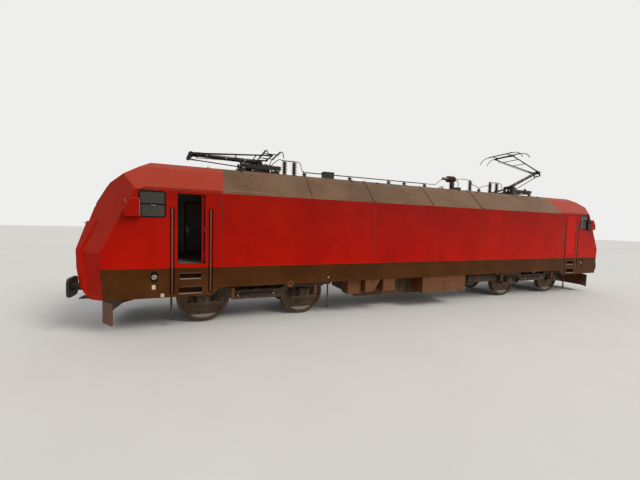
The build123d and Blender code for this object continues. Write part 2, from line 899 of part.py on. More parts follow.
def axle_box(x):
    """A near side axle box with its two spring wings and round cover."""
    z = axle_height
    depth = (-beam_outer, -beam_inner)
    shape = block((x - box_half_length, x + box_half_length), depth, (z - box_half_height, z + box_half_height))
    shape += block((x - box_wing, x + box_wing), depth, (box_wing_low, box_wing_low + box_wing_thick))
    shape += bar((x, -beam_outer, z), (x, -beam_outer - box_cover_proud, z), box_cover_radius, 12)
    bore = journal_radius + journal_clearance
    return shape - rod((x, -beam_inner + 1, z), (x, -journal_end - journal_clearance, z), bore)


def bogie_springs(x):
    """Primary springs beside each axle box and the secondary ones under the floor, near side."""
    shapes = []
    y = -(beam_outer + beam_inner) / 2
    low = box_wing_low + box_wing_thick + seat_gap
    high = beam_mid_high - seat_gap
    for axle in (-axle_half_base, axle_half_base):
        for place in (x + axle - spring_place, x + axle + spring_place):
            shapes.append(bar((place, y, low), (place, y, high), primary_radius, 12))
    y = -beam_outer + secondary_in
    low = beam_mid_high + seat_gap
    high = floor_bottom - seat_gap
    for place in (x - secondary_pitch, x, x + secondary_pitch):
        shapes.append(bar((place, y, low), (place, y, high), secondary_radius, 12))
    return both_sides(shapes)


def motor(x, way):
    """A traction motor and its gear case round the axle; way points from the pivot to the axle."""
    place = x + way * motor_place
    axle = x + way * axle_half_base
    z = axle_height
    y = (gear_case_place - gear_case_width / 2, gear_case_place + gear_case_width / 2)
    shape = bar((place, -motor_half, motor_height), (place, y[0], motor_height), motor_radius, 12)
    shape += bar((axle, y[0], z), (axle, y[1], z), gear_wheel_radius, 12)
    shape += bar((place, y[0], motor_height), (place, y[1], motor_height), pinion_radius, 12)
    link = [(place, motor_height - pinion_link_half), (axle, z - gear_link_half)]
    link += [(axle, z + gear_link_half), (place, motor_height + pinion_link_half)]
    shape += across(link, y)
    nose = (beam_mid_low + 2 * transom_inset, beam_mid_high - 2 * transom_inset)
    reach = sorted_pair(x + way * (transom_half + seat_gap), place)
    shape += block(reach, (-motor_nose_half, motor_nose_half), nose)
    return shape - rod((axle, y[0] - 1, z), (axle, y[1] + 1, z), axle_radius + axle_bore_gap)


def sorted_pair(first, second):
    return (min(first, second), max(first, second))


def sand_pipes(x):
    """The sand box and its pipe at each end of the bogie, near side."""
    shapes = []
    y = -beam_outer + sander_box_half
    height = (beam_mid_high + 2 * transom_inset, beam_end_high - 2 * transom_inset)
    for way in (-1, 1):
        place = x + way * sander_place
        reach = sorted_pair(x + way * beam_end, place + way * sander_box_half)
        pipe = bar((place, y, sander_low), (place, y, height[0]), sander_radius)
        shapes.append(pipe + block(reach, (y - sander_box_half, y + sander_box_half), height))
    return both_sides(shapes)


def reservoir():
    """An air reservoir on the near side, with two straps up to the floor."""
    low = box_ends[2] + reservoir_gap
    high = pivot_place - sander_place - sander_box_half - reservoir_end_gap
    y, z = -reservoir_out, reservoir_height
    tank = bar((low, y, z), (high, y, z), reservoir_radius - reservoir_dish, 12)
    tank += bar((low + reservoir_dish, y, z), (high - reservoir_dish, y, z), reservoir_radius, 12)
    for place in (low + reservoir_gap, high - reservoir_gap):
        width = (place - strap_half[0], place + strap_half[0])
        tank += block(width, (y - strap_half[1], y + strap_half[1]), (z, floor_bottom))
    return tank


def equipment_boxes_near():
    """The near side's boxes under the floor, their fronts nearly flush with the band."""
    front = half_width - box_face_inset
    inner = tank_half_width + box_gap
    rear_high = tank_ends[0] - rear_box_gap
    rows = [(low, high, inner, front, box_low) for low, high in zip(box_ends, box_ends[1:])]
    rows.append((*small_box_ends, tank_half_width + small_box_in, front, small_box_low))
    rows.append((rear_high - rear_box_length, rear_high, *rear_box_sides, rear_box_low))
    shapes = []
    for start, end, inside, outside, low in rows:
        x = (start + box_seam / 2, end - box_seam / 2)
        lower = block(x, (-outside, -inside), (low, band_bottom))
        shapes.append(lower + block(x, (-min(outside, box_back_half), -inside), (low, floor_bottom)))
    low = band_bottom - gusset_fall
    outline = [(gusset_ends[0], band_bottom), (gusset_ends[1], band_bottom), (gusset_bend, low), (gusset_ends[0], low)]
    face = -half_width + gusset_inset
    gusset = across(outline, (face, face + gusset_width))
    foot = band_bottom - 2 * gusset_inset
    shapes.append(gusset + block(gusset_ends, (-box_back_half, face + gusset_width), (foot, floor_bottom)))
    return shapes


# Roof gear

def post(x, y, height):
    """A post insulator on the flat of the roof, drawn at the width of its ribs."""
    return bar((x, y, roof_height), (x, y, roof_height + height), rib_radius, 12)


def foot_places():
    """Where the posts under the right pantograph stand."""
    ends = (base_length[0] + foot_post_inset, base_length[1] - foot_post_inset)
    return [(x, y) for x in ends for y in (-base_half, base_half)]


def roof_insulators():
    posts = [post(x, post_row, tall_post_height) for x in tall_posts]
    posts += [post(x, post_row, short_post_height) for x in short_posts]
    feet = [post(x, y, foot_post_height) for x, y in foot_places()]
    return posts + both_ends(feet)


def bus_bars():
    """The bars along the posts' tops: a low one on the short posts, high ones on the tall posts."""
    low = roof_height + short_post_height + bar_radius
    high = roof_height + tall_post_height + bar_radius
    runs = [(short_posts[0], short_posts[4], low), (tall_posts[3], tall_posts[4], high)]
    runs.append((tall_posts[0], tall_posts[1], high))
    bars = []
    for first, last, z in runs:
        start, end = first - bar_overhang, last + bar_overhang
        bars.append(bar((start, post_row, z), (end, post_row, z), bar_radius))
    return bars


def circuit_breaker():
    """The main circuit breaker: an interrupter lying on its post, with a base plate."""
    x, y = breaker_place, post_row
    back, front, half, thick = breaker_base
    base_top = roof_height + thick
    shape = block((x - back, x + front), (y - half, y + half), (roof_height, base_top))
    top = base_top + breaker_post_height
    shape += bar((x, y, base_top), (x, y, top), rib_radius, 12)
    z = top + breaker_radius * 0.8
    start = (x + breaker_front, y, z)
    shape += bar(start, (start[0] - breaker_reach * 0.6, y, z), breaker_radius, 12)
    return shape + bar(start, (start[0] - breaker_reach, y, z), breaker_radius * 0.6, 12)


def disconnector():
    """The earthing switch beside the breaker, its two blades open."""
    x, y = blade_place, post_row
    shape = block((x - 200, x + 260), (y - 110, y + 110), (roof_height, roof_height + 50))
    for side in (y - 50, y + 40):
        outline = [(x - 120, roof_height + 40), (x - 90, roof_height + 40), (x + 220, roof_height + 190)]
        outline.append((x + 190, roof_height + 190))
        shape += across(outline, (side, side + 10))
    return shape


def roof_antennas():
    """Two round antennas on the left cab roof's flat."""
    shapes = []
    for x, y, radius, height in antenna_places:
        shapes.append(bar((-x, y, roof_height), (-x, y, roof_height + height), radius, 12))
    return shapes


# Pantographs, drawn for the right end with the knee towards the nose

def arm_points(lower_angle, upper_angle):
    """Knee and head pivots, as (x, height), for the angles of the two arms above the level."""
    lower = math.radians(lower_angle)
    upper = math.radians(upper_angle)
    knee = (arm_pivot[0] + lower_arm_length * math.cos(lower), arm_pivot[1] + lower_arm_length * math.sin(lower))
    head = (knee[0] - upper_arm_length * math.cos(upper), knee[1] + upper_arm_length * math.sin(upper))
    return knee, head


def lever_end(upper_angle):
    """The rod's eye on the upper arm, relative to the knee; drawn where the pantograph is up."""
    turn = math.radians(upper_angle_up - upper_angle)
    x, z = lever_run, -lever_drop
    return (x * math.cos(turn) - z * math.sin(turn), x * math.sin(turn) + z * math.cos(turn))


def pantograph_base():
    """Two long rails on the posts, flat cross bars between them, and bearings for the arm and the rod."""
    low = roof_height + foot_post_height
    width, height = base_rail_size
    plate = (low, low + base_plate_thick)
    base = block(base_length, (-base_half - width / 2, -base_half + width / 2), (low, low + height))
    base += block(base_length, (base_half - width / 2, base_half + width / 2), (low, low + height))
    for x in (base_length[0] + width, rod_pivot[0], arm_pivot[0], base_length[1] - width):
        base += block((x - width, x + width), (-base_half, base_half), plate)
    reach = knee_half + cheek_gap + cheek_thick
    for y in (-reach, knee_half + cheek_gap):
        base += across(bearing_outline(arm_pivot, plate[0], 90, 45), (y, y + cheek_thick))
    base += rod((arm_pivot[0], -reach, arm_pivot[1]), (arm_pivot[0], reach, arm_pivot[1]), shaft_radius)
    for y in (-rod_cheek_half, rod_cheek_half - rod_cheek_thick):
        base += across(bearing_outline(rod_pivot, plate[0], 50, 30), (y, y + rod_cheek_thick))
    start, end = (rod_pivot[0], -rod_cheek_half, rod_pivot[1]), (rod_pivot[0], rod_cheek_half, rod_pivot[1])
    return base + rod(start, end, eye_pin_radius)


def bearing_outline(pivot, foot, foot_half, top_half):
    """A bearing cheek from its foot up to just over its pivot."""
    x, z = pivot
    return [(x - foot_half, foot), (x + foot_half, foot), (x + top_half, z + top_half), (x - top_half, z + top_half)]


def lower_arm(knee):
    """The single tube from the base's shaft to the knee's shaft."""
    x, z = arm_pivot
    direction = Vector(knee[0] - x, 0, knee[1] - z).normalized()
    start = Vector(x, 0, z) + direction * 30
    end = Vector(knee[0], 0, knee[1]) - direction * 20
    arm = bar(tuple(start), tuple(end), lower_arm_radius, 12)
    arm += rod((x, -knee_half, z), (x, knee_half, z), knee_radius)
    arm += rod((knee[0], -knee_half + 60, knee[1]), (knee[0], knee_half - 60, knee[1]), knee_radius)
    arm -= rod((x, -knee_half - 90, z), (x, knee_half + 90, z), shaft_radius + pin_gap)
    return arm - rod((knee[0], -knee_half, knee[1]), (knee[0], knee_half, knee[1]), knee_pin_radius + pin_gap)


def upper_arm(knee, head, lever):
    """Two tubes that spread from the knee to the head's shaft, with the lever for the coupling rod."""
    arm = rod((knee[0], -knee_half, knee[1]), (knee[0], knee_half, knee[1]), knee_pin_radius)
    for y in (-1, 1):
        cheek = knee_half - 60 + 1
        arm += rod((knee[0], y * cheek, knee[1]), (knee[0], y * knee_half, knee[1]), knee_radius - 8)
        foot = (knee[0], y * (knee_half - 25), knee[1])
        arm += bar(foot, (head[0], y * upper_spread, head[1]), upper_tube_radius)
        eye = (knee[0] + lever[0], y * (knee_half - 30), knee[1] + lever[1])
        arm += bar((foot[0], y * (knee_half - 30), foot[2]), eye, 20)
    eye = (knee[0] + lever[0], knee[1] + lever[1])
    arm += rod((eye[0], -knee_half + 10, eye[1]), (eye[0], knee_half - 10, eye[1]), eye_pin_radius)
    arm += rod((head[0], -upper_spread - 20, head[1]), (head[0], upper_spread + 20, head[1]), 20)
    middle = [(knee[index] * 0.45 + head[index] * 0.55) for index in (0, 1)]
    half = knee_half * 0.45 + upper_spread * 0.55 - 10
    return arm + bar((middle[0], -half, middle[1]), (middle[0], half, middle[1]), upper_tube_radius * 0.7)


def contact_head(head):
    """Two contact strips with down-bent horns, on two cross bars with sleeves on the arm's shaft."""
    x, z = head
    shape = None
    top = z + head_rise
    strip_w, strip_h = head_strip_size
    for side in (-1, 1):
        place = x + side * head_strip_gap / 2
        strip = block(
            (place - strip_w / 2, place + strip_w / 2), (-head_strip_half, head_strip_half), (top, top + strip_h)
        )
        for y in (-1, 1):
            bend = (place, y * (head_strip_half + 220), top - 40)
            tip = (place, y * head_half, top - horn_drop)
            strip += bar((place, y * (head_strip_half - 60), top + 8), bend, head_tube_radius)
            strip += bar(bend, tip, head_tube_radius)
        shape = strip if shape is None else shape + strip
    for y in (-1, 1):
        place = y * (upper_spread - 100)
        shape += block((x - head_strip_gap / 2, x + head_strip_gap / 2), sorted_pair(place, place + y * 30), (top - 30, top + 5))
        sleeve = sorted_pair(place - y * 20, place + y * 50)
        shape += rod((x, sleeve[0], z), (x, sleeve[1], z), 34)
        shape += block((x - 20, x + 20), sorted_pair(place, place + y * 30), (z, top))
        shape -= rod((x, place - y * 60, z), (x, place + y * 60, z), 20 + pin_gap)
    return shape


def coupling_rod(eye):
    """The rod from the base to the lever under the knee; its upper eye is left open round the pin."""
    x, z = rod_pivot
    direction = Vector(eye[0] - x, 0, eye[1] - z).normalized()
    half = rod_eye_half
    start = Vector(x, 0, z) + direction * (eye_pin_radius + 10)
    end = Vector(eye[0], 0, eye[1]) - direction * (eye_pin_radius + open_eye_gap + 6)
    shape = bar(tuple(start), tuple(end), rod_radius)
    shape += rod((x, -half, z), (x, half, z), rod_eye_radius)
    shape += rod((eye[0], -half, eye[1]), (eye[0], half, eye[1]), rod_eye_radius)
    shape -= rod((x, -half - 1, z), (x, half + 1, z), eye_pin_radius + pin_gap)
    return shape - rod((eye[0], -half - 1, eye[1]), (eye[0], half + 1, eye[1]), eye_pin_radius + open_eye_gap)


def pantograph(lower_angle, upper_angle):
    """The moving pieces for one pair of angles, drawn at the right end."""
    knee, head = arm_points(lower_angle, upper_angle)
    lever = lever_end(upper_angle)
    eye = (knee[0] + lever[0], knee[1] + lever[1])
    return {
        "lower_arm": lower_arm(knee),
        "upper_arm": upper_arm(knee, head, lever),
        "head": contact_head(head),
        "rod": coupling_rod(eye),
    }


def write_body():
    store("underframe", [underframe()])
    store("side_wall_near", [side_wall()])
    store("side_wall_far", [other_side(side_wall())])
    store("roof_hoods", roof_hoods())
    shell = cab_shell()
    store("cab_right_shell", [shell])
    store("cab_left_shell", [other_end(shell)])
    store("cab_floors", both_ends([cab_floor()]))
    store("cab_bulkheads", both_ends([cab_bulkhead()]))
    store("drivers_desks", both_ends([drivers_desk()]))
    store("drivers_seats", both_ends(both_sides([drivers_seat()])))
    window = side_window()
    screens = windscreen_halves()
    store("windscreens", both_ends([screen[2] for screen in screens]))
    store("side_windows", both_ends(both_sides([window[2]])))
    frames = [screen[1] for screen in screens] + both_sides([window[1]])
    store("window_frames", both_ends(frames))
    store("rain_gutters", both_ends(both_sides([rain_gutter()])))
    store("outside_mirrors", both_ends(both_sides([outside_mirror()])))
    rails = both_sides([hand_rail(x) for x in rail_places])
    store("hand_rails", both_ends(rails + [front_rail()]))
    store("head_lamps", both_ends(head_lamps()))
    store("machine_block", [machine_block()])


def machine_block():
    """The electrical plant in the machine room, as one closed block."""
    half = hood_end - machine_gap
    return block((-half, half), (-machine_half_width, machine_half_width), (floor_top, shoulder_height))


def write_ends_and_underside():
    store("buffers", both_ends(both_sides([buffer(-buffer_spread)])))
    store("draw_gear", both_ends([draw_gear()]))
    store("shunter_treads", both_ends(both_sides([shunter_tread(-buffer_spread)])))
    store("rail_guards", both_ends([rail_guard()]))
    store("transformer_tank", [block(tank_ends, (-tank_half_width, tank_half_width), (tank_low, floor_bottom))])
    store("side_boxes", both_sides(equipment_boxes_near()))
    store("air_reservoirs", both_sides([reservoir()]))


def write_roof():
    store("roof_insulators", roof_insulators())
    store("bus_bars", bus_bars())
    store("circuit_breaker", [circuit_breaker(), disconnector()])
    store("roof_antennas", roof_antennas())
    base = pantograph_base()
    store("pan_right_base", [base])
    store("pan_left_base", [other_end(base)])
    for piece, shape in pantograph(lower_angle_up, upper_angle_up).items():
        store(f"pan_right_{piece}", [shape])
    for piece, shape in pantograph(lower_angle_down, upper_angle_down).items():
        store(f"pan_left_{piece}", [other_end(shape)])


def write_doors():
    leaf = door_leaf()
    store("door_right_near", [leaf])
    store("door_right_far", [other_side(leaf)])
    store("door_left_far", [other_side(other_end(leaf))])
    store("door_left_near", [open_door(leaf)])


def write_running_gear():
    ends = {"left": -pivot_place, "right": pivot_place}
    number = 1
    for end, x in ends.items():
        store(f"bogie_{end}_frame", [bogie_frame(x)])
        boxes = [axle_box(x - axle_half_base), axle_box(x + axle_half_base)]
        store(f"bogie_{end}_axle_boxes", both_sides(boxes))
        store(f"bogie_{end}_springs", bogie_springs(x))
        store(f"bogie_{end}_motors", [motor(x, -1), motor(x, 1)])
        store(f"bogie_{end}_sand_pipes", sand_pipes(x))
        for way in (-1, 1):
            store(f"wheelset_{number}", [wheelset(x + way * axle_half_base)])
            number += 1


os.makedirs("parts", exist_ok=True)
write_body()
write_ends_and_underside()
write_roof()
write_doors()
write_running_gear()
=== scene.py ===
import bpy
import bmesh
import json
import math
from mathutils import Matrix, Vector


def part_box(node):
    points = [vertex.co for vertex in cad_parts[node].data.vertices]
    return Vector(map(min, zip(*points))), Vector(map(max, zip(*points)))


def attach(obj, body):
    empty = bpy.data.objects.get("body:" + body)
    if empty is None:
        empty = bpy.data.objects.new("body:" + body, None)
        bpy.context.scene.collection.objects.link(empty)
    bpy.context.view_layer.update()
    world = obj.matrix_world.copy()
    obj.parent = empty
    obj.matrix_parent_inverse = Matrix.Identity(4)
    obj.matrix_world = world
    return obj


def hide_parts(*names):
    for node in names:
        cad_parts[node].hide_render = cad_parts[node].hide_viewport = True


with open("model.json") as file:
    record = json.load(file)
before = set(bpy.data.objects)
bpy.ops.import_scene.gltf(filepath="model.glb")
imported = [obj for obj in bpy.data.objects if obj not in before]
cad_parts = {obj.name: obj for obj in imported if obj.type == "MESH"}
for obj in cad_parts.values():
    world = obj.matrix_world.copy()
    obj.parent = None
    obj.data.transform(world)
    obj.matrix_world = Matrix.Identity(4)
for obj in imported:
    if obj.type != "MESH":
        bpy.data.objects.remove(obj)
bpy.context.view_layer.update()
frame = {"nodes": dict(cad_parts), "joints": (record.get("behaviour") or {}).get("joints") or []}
nodes = frame["nodes"]
pivots = {joint["name"]: Vector(joint["pos_m"]) for joint in frame["joints"]}
scene = bpy.context.scene
scene.view_settings.view_transform = "Standard"
print("frame loaded with", len(nodes), "nodes")

railTop = 0.028  # the flanges stand on the floor, so rail height lies above it
halfWidth = 1.475
shoulder = 3.25 + railTop
bandTop = 1.484 + railTop
roofTop = 3.95 + railTop
ends, flanks = ("left", "right"), ("near", "far")
lengthwise, crosswise, upward = (1, 0, 0), (0, 1, 0), (0, 0, 1)


# camera, solved from the photograph's edges; its focal length is in pixels of the picture

camera = {"place": (-6.859, -9.037, 2.579), "yaw": 0.37647, "pitch": -0.0493, "roll": -0.02548, "focal": 300,
          "pixels": 640, "sensor": 36, "far": 400}


def placeCamera():
    yaw, pitch, roll = camera["yaw"], camera["pitch"], camera["roll"]
    forward = Vector((math.sin(yaw) * math.cos(pitch), math.cos(yaw) * math.cos(pitch), math.sin(pitch)))
    level = Vector((math.cos(yaw), -math.sin(yaw), 0))
    below = forward.cross(level)
    right = level * math.cos(roll) + below * math.sin(roll)
    down = below * math.cos(roll) - level * math.sin(roll)
    data = bpy.data.cameras.new("stationView")
    data.sensor_width = camera["sensor"]
    data.lens = camera["focal"] * camera["sensor"] / camera["pixels"]
    data.clip_end = camera["far"]
    eye = bpy.data.objects.new("stationView", data)
    turn = Matrix((right, -down, -forward)).transposed().to_4x4()
    eye.matrix_world = Matrix.Translation(camera["place"]) @ turn
    scene.collection.objects.link(eye)
    scene.camera = eye


placeCamera()
print("camera placed")


# shader tools

def tone(red, green, blue, share=1.0):
    # a colour given as it shows on screen, 0 to 255, in the linear values that Blender takes
    parts = [part / 255 for part in (red, green, blue)]
    linear = [part / 12.92 if part <= 10 / 255 else ((part + 0.055) / 1.055) ** 2.4 for part in parts]
    return (*[part * share for part in linear], 1)


def feed(tree, socket, value):
    # links a socket, or sets a fixed value; three numbers for a colour are its tone on screen
    if isinstance(value, bpy.types.NodeSocket):
        tree.links.new(value, socket)
    else:
        socket.default_value = tone(*value) if socket.type == "RGBA" and len(value) == 3 else value


def put(tree, kind, settings=None, **values):
    # adds one shader node; i0, i1 and so on name an input by its number
    node = tree.nodes.new("ShaderNode" + kind)
    for key, value in (settings or {}).items():
        setattr(node, key, value)
    for key, value in values.items():
        numbered = key[0] == "i" and key[1:].isdigit()
        feed(tree, node.inputs[int(key[1:]) if numbered else key.replace("_", " ")], value)
    return node


def use(tree, group, **values):
    return put(tree, "Group", {"node_tree": group}, **values).outputs


def calc(tree, operation, first, second=0.0, clamp=False):
    return put(tree, "Math", {"operation": operation, "use_clamp": clamp}, i0=first, i1=second).outputs[0]


def times(tree, first, second):
    return calc(tree, "MULTIPLY", first, second)


def ramp(tree, value, low, high):
    settings = {"interpolation_type": "SMOOTHSTEP"}
    return put(tree, "MapRange", settings, Value=value, From_Min=low, From_Max=high).outputs[0]


def spread(tree, value, low, high):
    return put(tree, "MapRange", Value=value, To_Min=low, To_Max=high).outputs[0]


def mixed(tree, share, first, second):
    return put(tree, "Mix", {"data_type": "RGBA"}, i0=share, i6=first, i7=second).outputs[2]


def objectPlace(tree):
    return put(tree, "TexCoord").outputs["Object"]


def stretched(tree, scale):
    return put(tree, "VectorMath", {"operation": "MULTIPLY"}, i0=objectPlace(tree), i1=scale).outputs[0]


def noise(tree, place, scale, detail, rough=0.5, bend=0.0):
    return put(tree, "TexNoise", Vector=place, Scale=scale, Detail=detail, Roughness=rough, Distortion=bend).outputs[0]


def surfaceNormal(tree):
    return put(tree, "NewGeometry").outputs["Normal"]


def facingUp(tree):
    return put(tree, "SeparateXYZ", Vector=surfaceNormal(tree)).outputs[2]


# node groups shared by the materials

def groupTree(name, inputs, outputs):
    tree = bpy.data.node_groups.new(name, "ShaderNodeTree")
    kinds = {"c": "NodeSocketColor", "f": "NodeSocketFloat"}
    for label, kind, start in inputs:
        socket = tree.interface.new_socket(name=label, in_out="INPUT", socket_type=kinds[kind])
        socket.default_value = start
    for label, kind in outputs:
        tree.interface.new_socket(name=label, in_out="OUTPUT", socket_type=kinds[kind])
    return tree, tree.nodes.new("NodeGroupInput").outputs, tree.nodes.new("NodeGroupOutput").inputs


def colorLayer(name, tint, start, inputs, findMask):
    # a group that lays a second colour over the first one where its mask says
    inputs = [("Color", "c", (1, 1, 1, 1)), (tint, "c", start)] + [(label, "f", value) for label, value in inputs]
    tree, given, result = groupTree(name, inputs, [("Color", "c"), ("Mask", "f")])
    mask = findMask(tree, given)
    tree.links.new(mixed(tree, mask, given["Color"], given[tint]), result["Color"])
    tree.links.new(mask, result["Mask"])
    return tree


def mottleMask(tree, given):
    # slow changes of shade over large areas, with a finer layer inside them
    broad = noise(tree, objectPlace(tree), calc(tree, "DIVIDE", 1.0, given["Size"]), 5.0, 0.62)
    return times(tree, ramp(tree, broad, 0.36, 0.68), given["Amount"])


def streakMask(tree, given):
    # rain streaks down upright faces
    grain = noise(tree, stretched(tree, (9, 9, 0.35)), 1.0, 6.0, 0.7)
    patch = noise(tree, stretched(tree, (0.8, 0.8, 0.5)), 1.0, 2.0)
    return times(tree, times(tree, ramp(tree, grain, 0.5, 0.72), ramp(tree, patch, 0.42, 0.62)), given["Amount"])


def dustMask(tree, given):
    # brown dust that thins out with height, and lies on faces that look up
    place = objectPlace(tree)
    height = put(tree, "SeparateXYZ", Vector=place).outputs[2]
    low = times(tree, ramp(tree, height, given["High"], given["Low"]), given["Amount"])
    top = times(tree, ramp(tree, facingUp(tree), 0.35, 0.95), given["On Top"])
    cloud = calc(tree, "ADD", 0.45, ramp(tree, noise(tree, place, 3.1, 8.0, 0.68), 0.35, 0.7))
    return calc(tree, "MULTIPLY", calc(tree, "ADD", low, top), cloud, True)


def rustMask(tree, given):
    # brown scale where paint or oil has gone
    spots = noise(tree, objectPlace(tree), calc(tree, "DIVIDE", 1.0, given["Size"]), 9.0, 0.75, 0.4)
    limit = spread(tree, given["Amount"], 0.8, 0.38)
    return ramp(tree, spots, limit, calc(tree, "ADD", limit, 0.14))


def makeSurface():
    # small unevenness for the bump, from paint skin to rough casting
    tree, given, result = groupTree("fineSurface", [("Size", "f", 0.01), ("Coarse", "f", 0.3)], [("Height", "f")])
    place, frequency = objectPlace(tree), calc(tree, "DIVIDE", 1.0, given["Size"])
    dents = put(tree, "TexVoronoi", Vector=place, Scale=times(tree, frequency, 0.37)).outputs[0]
    height = calc(tree, "ADD", noise(tree, place, frequency, 3.0), times(tree, dents, given["Coarse"]))
    tree.links.new(height, result["Height"])
    return tree


mottleGroup = colorLayer("paintMottle", "Shade", (0.5, 0.5, 0.5, 1), [("Size", 1), ("Amount", 0.5)], mottleMask)
streakGroup = colorLayer("rainStreaks", "Streak", (0.1, 0.08, 0.06, 1), [("Amount", 0.3)], streakMask)
dustGroup = colorLayer("brakeDust", "Dust", (0.16, 0.1, 0.055, 1),
                       [("Low", 0.4), ("High", 1.6), ("Amount", 0.5), ("On Top", 0.3)], dustMask)
rustGroup = colorLayer("rustPatches", "Rust", (0.13, 0.055, 0.022, 1), [("Size", 0.2), ("Amount", 0.4)], rustMask)
surfaceGroup = makeSurface()


def mottled(tree, color, shade, size, amount):
    return use(tree, mottleGroup, Color=color, Shade=shade, Size=size, Amount=amount)["Color"]


def fineHeight(tree, size, coarse):
    return use(tree, surfaceGroup, Size=size, Coarse=coarse)["Height"]


# finishes, each kept under its name

paints = {}


def startMaterial(name, metal=0.0, coat=0.0, coatRough=0.1, shine=0.28):
    paints[name] = bpy.data.materials.new(name)
    paints[name].use_nodes = True
    tree = paints[name].node_tree
    body = tree.nodes["Principled BSDF"]
    for key, value in (("Metallic", metal), ("Coat Weight", coat), ("Coat Roughness", coatRough),
                       ("Specular IOR Level", shine)):
        body.inputs[key].default_value = value
    return tree, body


def finishMaterial(tree, body, color, rough, height, strength, distance):
    feed(tree, body.inputs["Base Color"], color)
    feed(tree, body.inputs["Roughness"], rough)
    bump = put(tree, "Bump", Strength=strength, Distance=distance, Height=height)
    tree.links.new(bump.outputs[0], body.inputs["Normal"])


paintLook = {"shine": 0.05, "groundReflection": (168, 26, 3), "deep": (118, 7, 2), "slopes": (160, 62, 46), "umber": (60, 32, 8),
             "paleUmber": (76, 44, 16), "streak": (60, 24, 12), "dust": (110, 66, 34), "bandEnd": 8.738,
             "noseLean": 0.085, "cabMiddle": (7.6, 2.3), "cabFloor": 1.6, "cabWall": 1.397}


def makeBodyPaint(name, inside=False, groundLitReds=((166, 11, 1), (128, 13, 5))):
    # red sides over the umber band, with painted ground reflection making the red lighter low down and in broad
    # patches, and painted sky light on faces that look up; the cab's inner faces are painted grey
    tree, body = startMaterial(name, coatRough=0.2, shine=paintLook["shine"])
    place = objectPlace(tree)
    axis = put(tree, "SeparateXYZ", Vector=place).outputs
    # painted reflection of the ground: the red is lighter at the foot and darker toward the top, and broad patches of
    # the reflected ground colour lie over it
    height = put(tree, "MapRange", Value=axis[2], From_Min=1.5, From_Max=3.3).outputs[0]
    red = mottled(tree, mixed(tree, height, *groundLitReds), paintLook["groundReflection"], 3.2, 0.45)
    red = mottled(tree, red, paintLook["deep"], 0.9, 0.35)
    # painted sky light: faces that look up are mixed toward a pale pink
    red = mixed(tree, times(tree, ramp(tree, facingUp(tree), 0.12, 0.5), 0.8), red, paintLook["slopes"])
    reach = calc(tree, "SUBTRACT", calc(tree, "ABSOLUTE", axis[0]), times(tree, axis[2], paintLook["noseLean"]))
    below = calc(tree, "LESS_THAN", axis[2], bandTop)
    band = times(tree, below, calc(tree, "LESS_THAN", reach, paintLook["bandEnd"]))
    color = mixed(tree, band, red, mottled(tree, paintLook["umber"], paintLook["paleUmber"], 0.8, 0.6))
    streak = use(tree, streakGroup, Color=color, Streak=paintLook["streak"], Amount=0.32)
    dust = use(tree, dustGroup, Color=streak["Color"], Dust=paintLook["dust"], Low=0.75, High=1.6, Amount=0.16,
               On_Top=0.12)
    color = dust["Color"]
    rough = spread(tree, calc(tree, "MAXIMUM", dust["Mask"], streak["Mask"]), 0.36, 0.66)
    if inside:
        along, rise = paintLook["cabMiddle"]
        centre = put(tree, "CombineXYZ", X=times(tree, calc(tree, "SIGN", axis[0]), along), Z=rise).outputs[0]
        outward = put(tree, "VectorMath", {"operation": "SUBTRACT"}, i0=place, i1=centre).outputs[0]
        facing = put(tree, "VectorMath", {"operation": "DOT_PRODUCT"}, i0=outward, i1=surfaceNormal(tree)).outputs[1]
        high = calc(tree, "GREATER_THAN", axis[2], paintLook["cabFloor"])
        inner = times(tree, calc(tree, "LESS_THAN", facing, 0.0), high)
        inner = times(tree, inner, calc(tree, "LESS_THAN", calc(tree, "ABSOLUTE", axis[1]), paintLook["cabWall"]))
        color = mixed(tree, inner, color, mottled(tree, (150, 146, 136), (118, 114, 104), 0.5, 0.6))
    wavy = times(tree, noise(tree, place, 1.7, 1.0), 3.0)
    skin = calc(tree, "ADD", times(tree, fineHeight(tree, 0.02, 0.15), 0.25), wavy)
    finishMaterial(tree, body, color, rough, skin, 0.22, 0.004)


def makeRoofPaint():
    # umber hoods: paler slopes, a soot-dark flat under the roof gear
    tree, body = startMaterial("roofPaint", coatRough=0.3, shine=0.08)
    base = mottled(tree, (112, 86, 66), (88, 66, 50), 1.3, 0.7)
    base = mixed(tree, ramp(tree, facingUp(tree), 0.9, 0.99), base, (84, 64, 50))
    streak = use(tree, streakGroup, Color=base, Streak=(58, 40, 28), Amount=0.6)["Color"]
    rust = use(tree, rustGroup, Color=streak, Rust=(104, 58, 34), Size=0.3, Amount=0.28)
    rough = spread(tree, rust["Mask"], 0.5, 0.85)
    finishMaterial(tree, body, rust["Color"], rough, fineHeight(tree, 0.03, 0.3), 0.2, 0.003)


def makeWindowGlass(name, tint, rough):
    tree, body = startMaterial(name, shine=0.4)
    body.inputs["Transmission Weight"].default_value = 0.85
    body.inputs["IOR"].default_value = 1.45
    smear = use(tree, mottleGroup, Color=tint, Shade=tone(*tint, 0.8), Size=0.35, Amount=0.6)
    haze = spread(tree, smear["Mask"], rough, rough + 0.08)
    finishMaterial(tree, body, smear["Color"], haze, fineHeight(tree, 0.25, 0.1), 0.05, 0.001)


def makeCloth():
    # woven seat cover
    tree, body = startMaterial("seatCloth")
    body.inputs["Sheen Weight"].default_value = 0.3
    place = stretched(tree, (420, 420, 420))
    warp, weft = [put(tree, "TexWave", {"bands_direction": way}, Vector=place, Scale=1.0, Distortion=0.4).outputs[0]
                  for way in "XZ"]
    weave = calc(tree, "MAXIMUM", warp, weft)
    wear = mottled(tree, (46, 50, 60), (70, 74, 82), 0.16, 0.5)
    finishMaterial(tree, body, mixed(tree, times(tree, weave, 0.35), wear, (26, 28, 36)), 0.9, weave, 0.35, 0.0008)


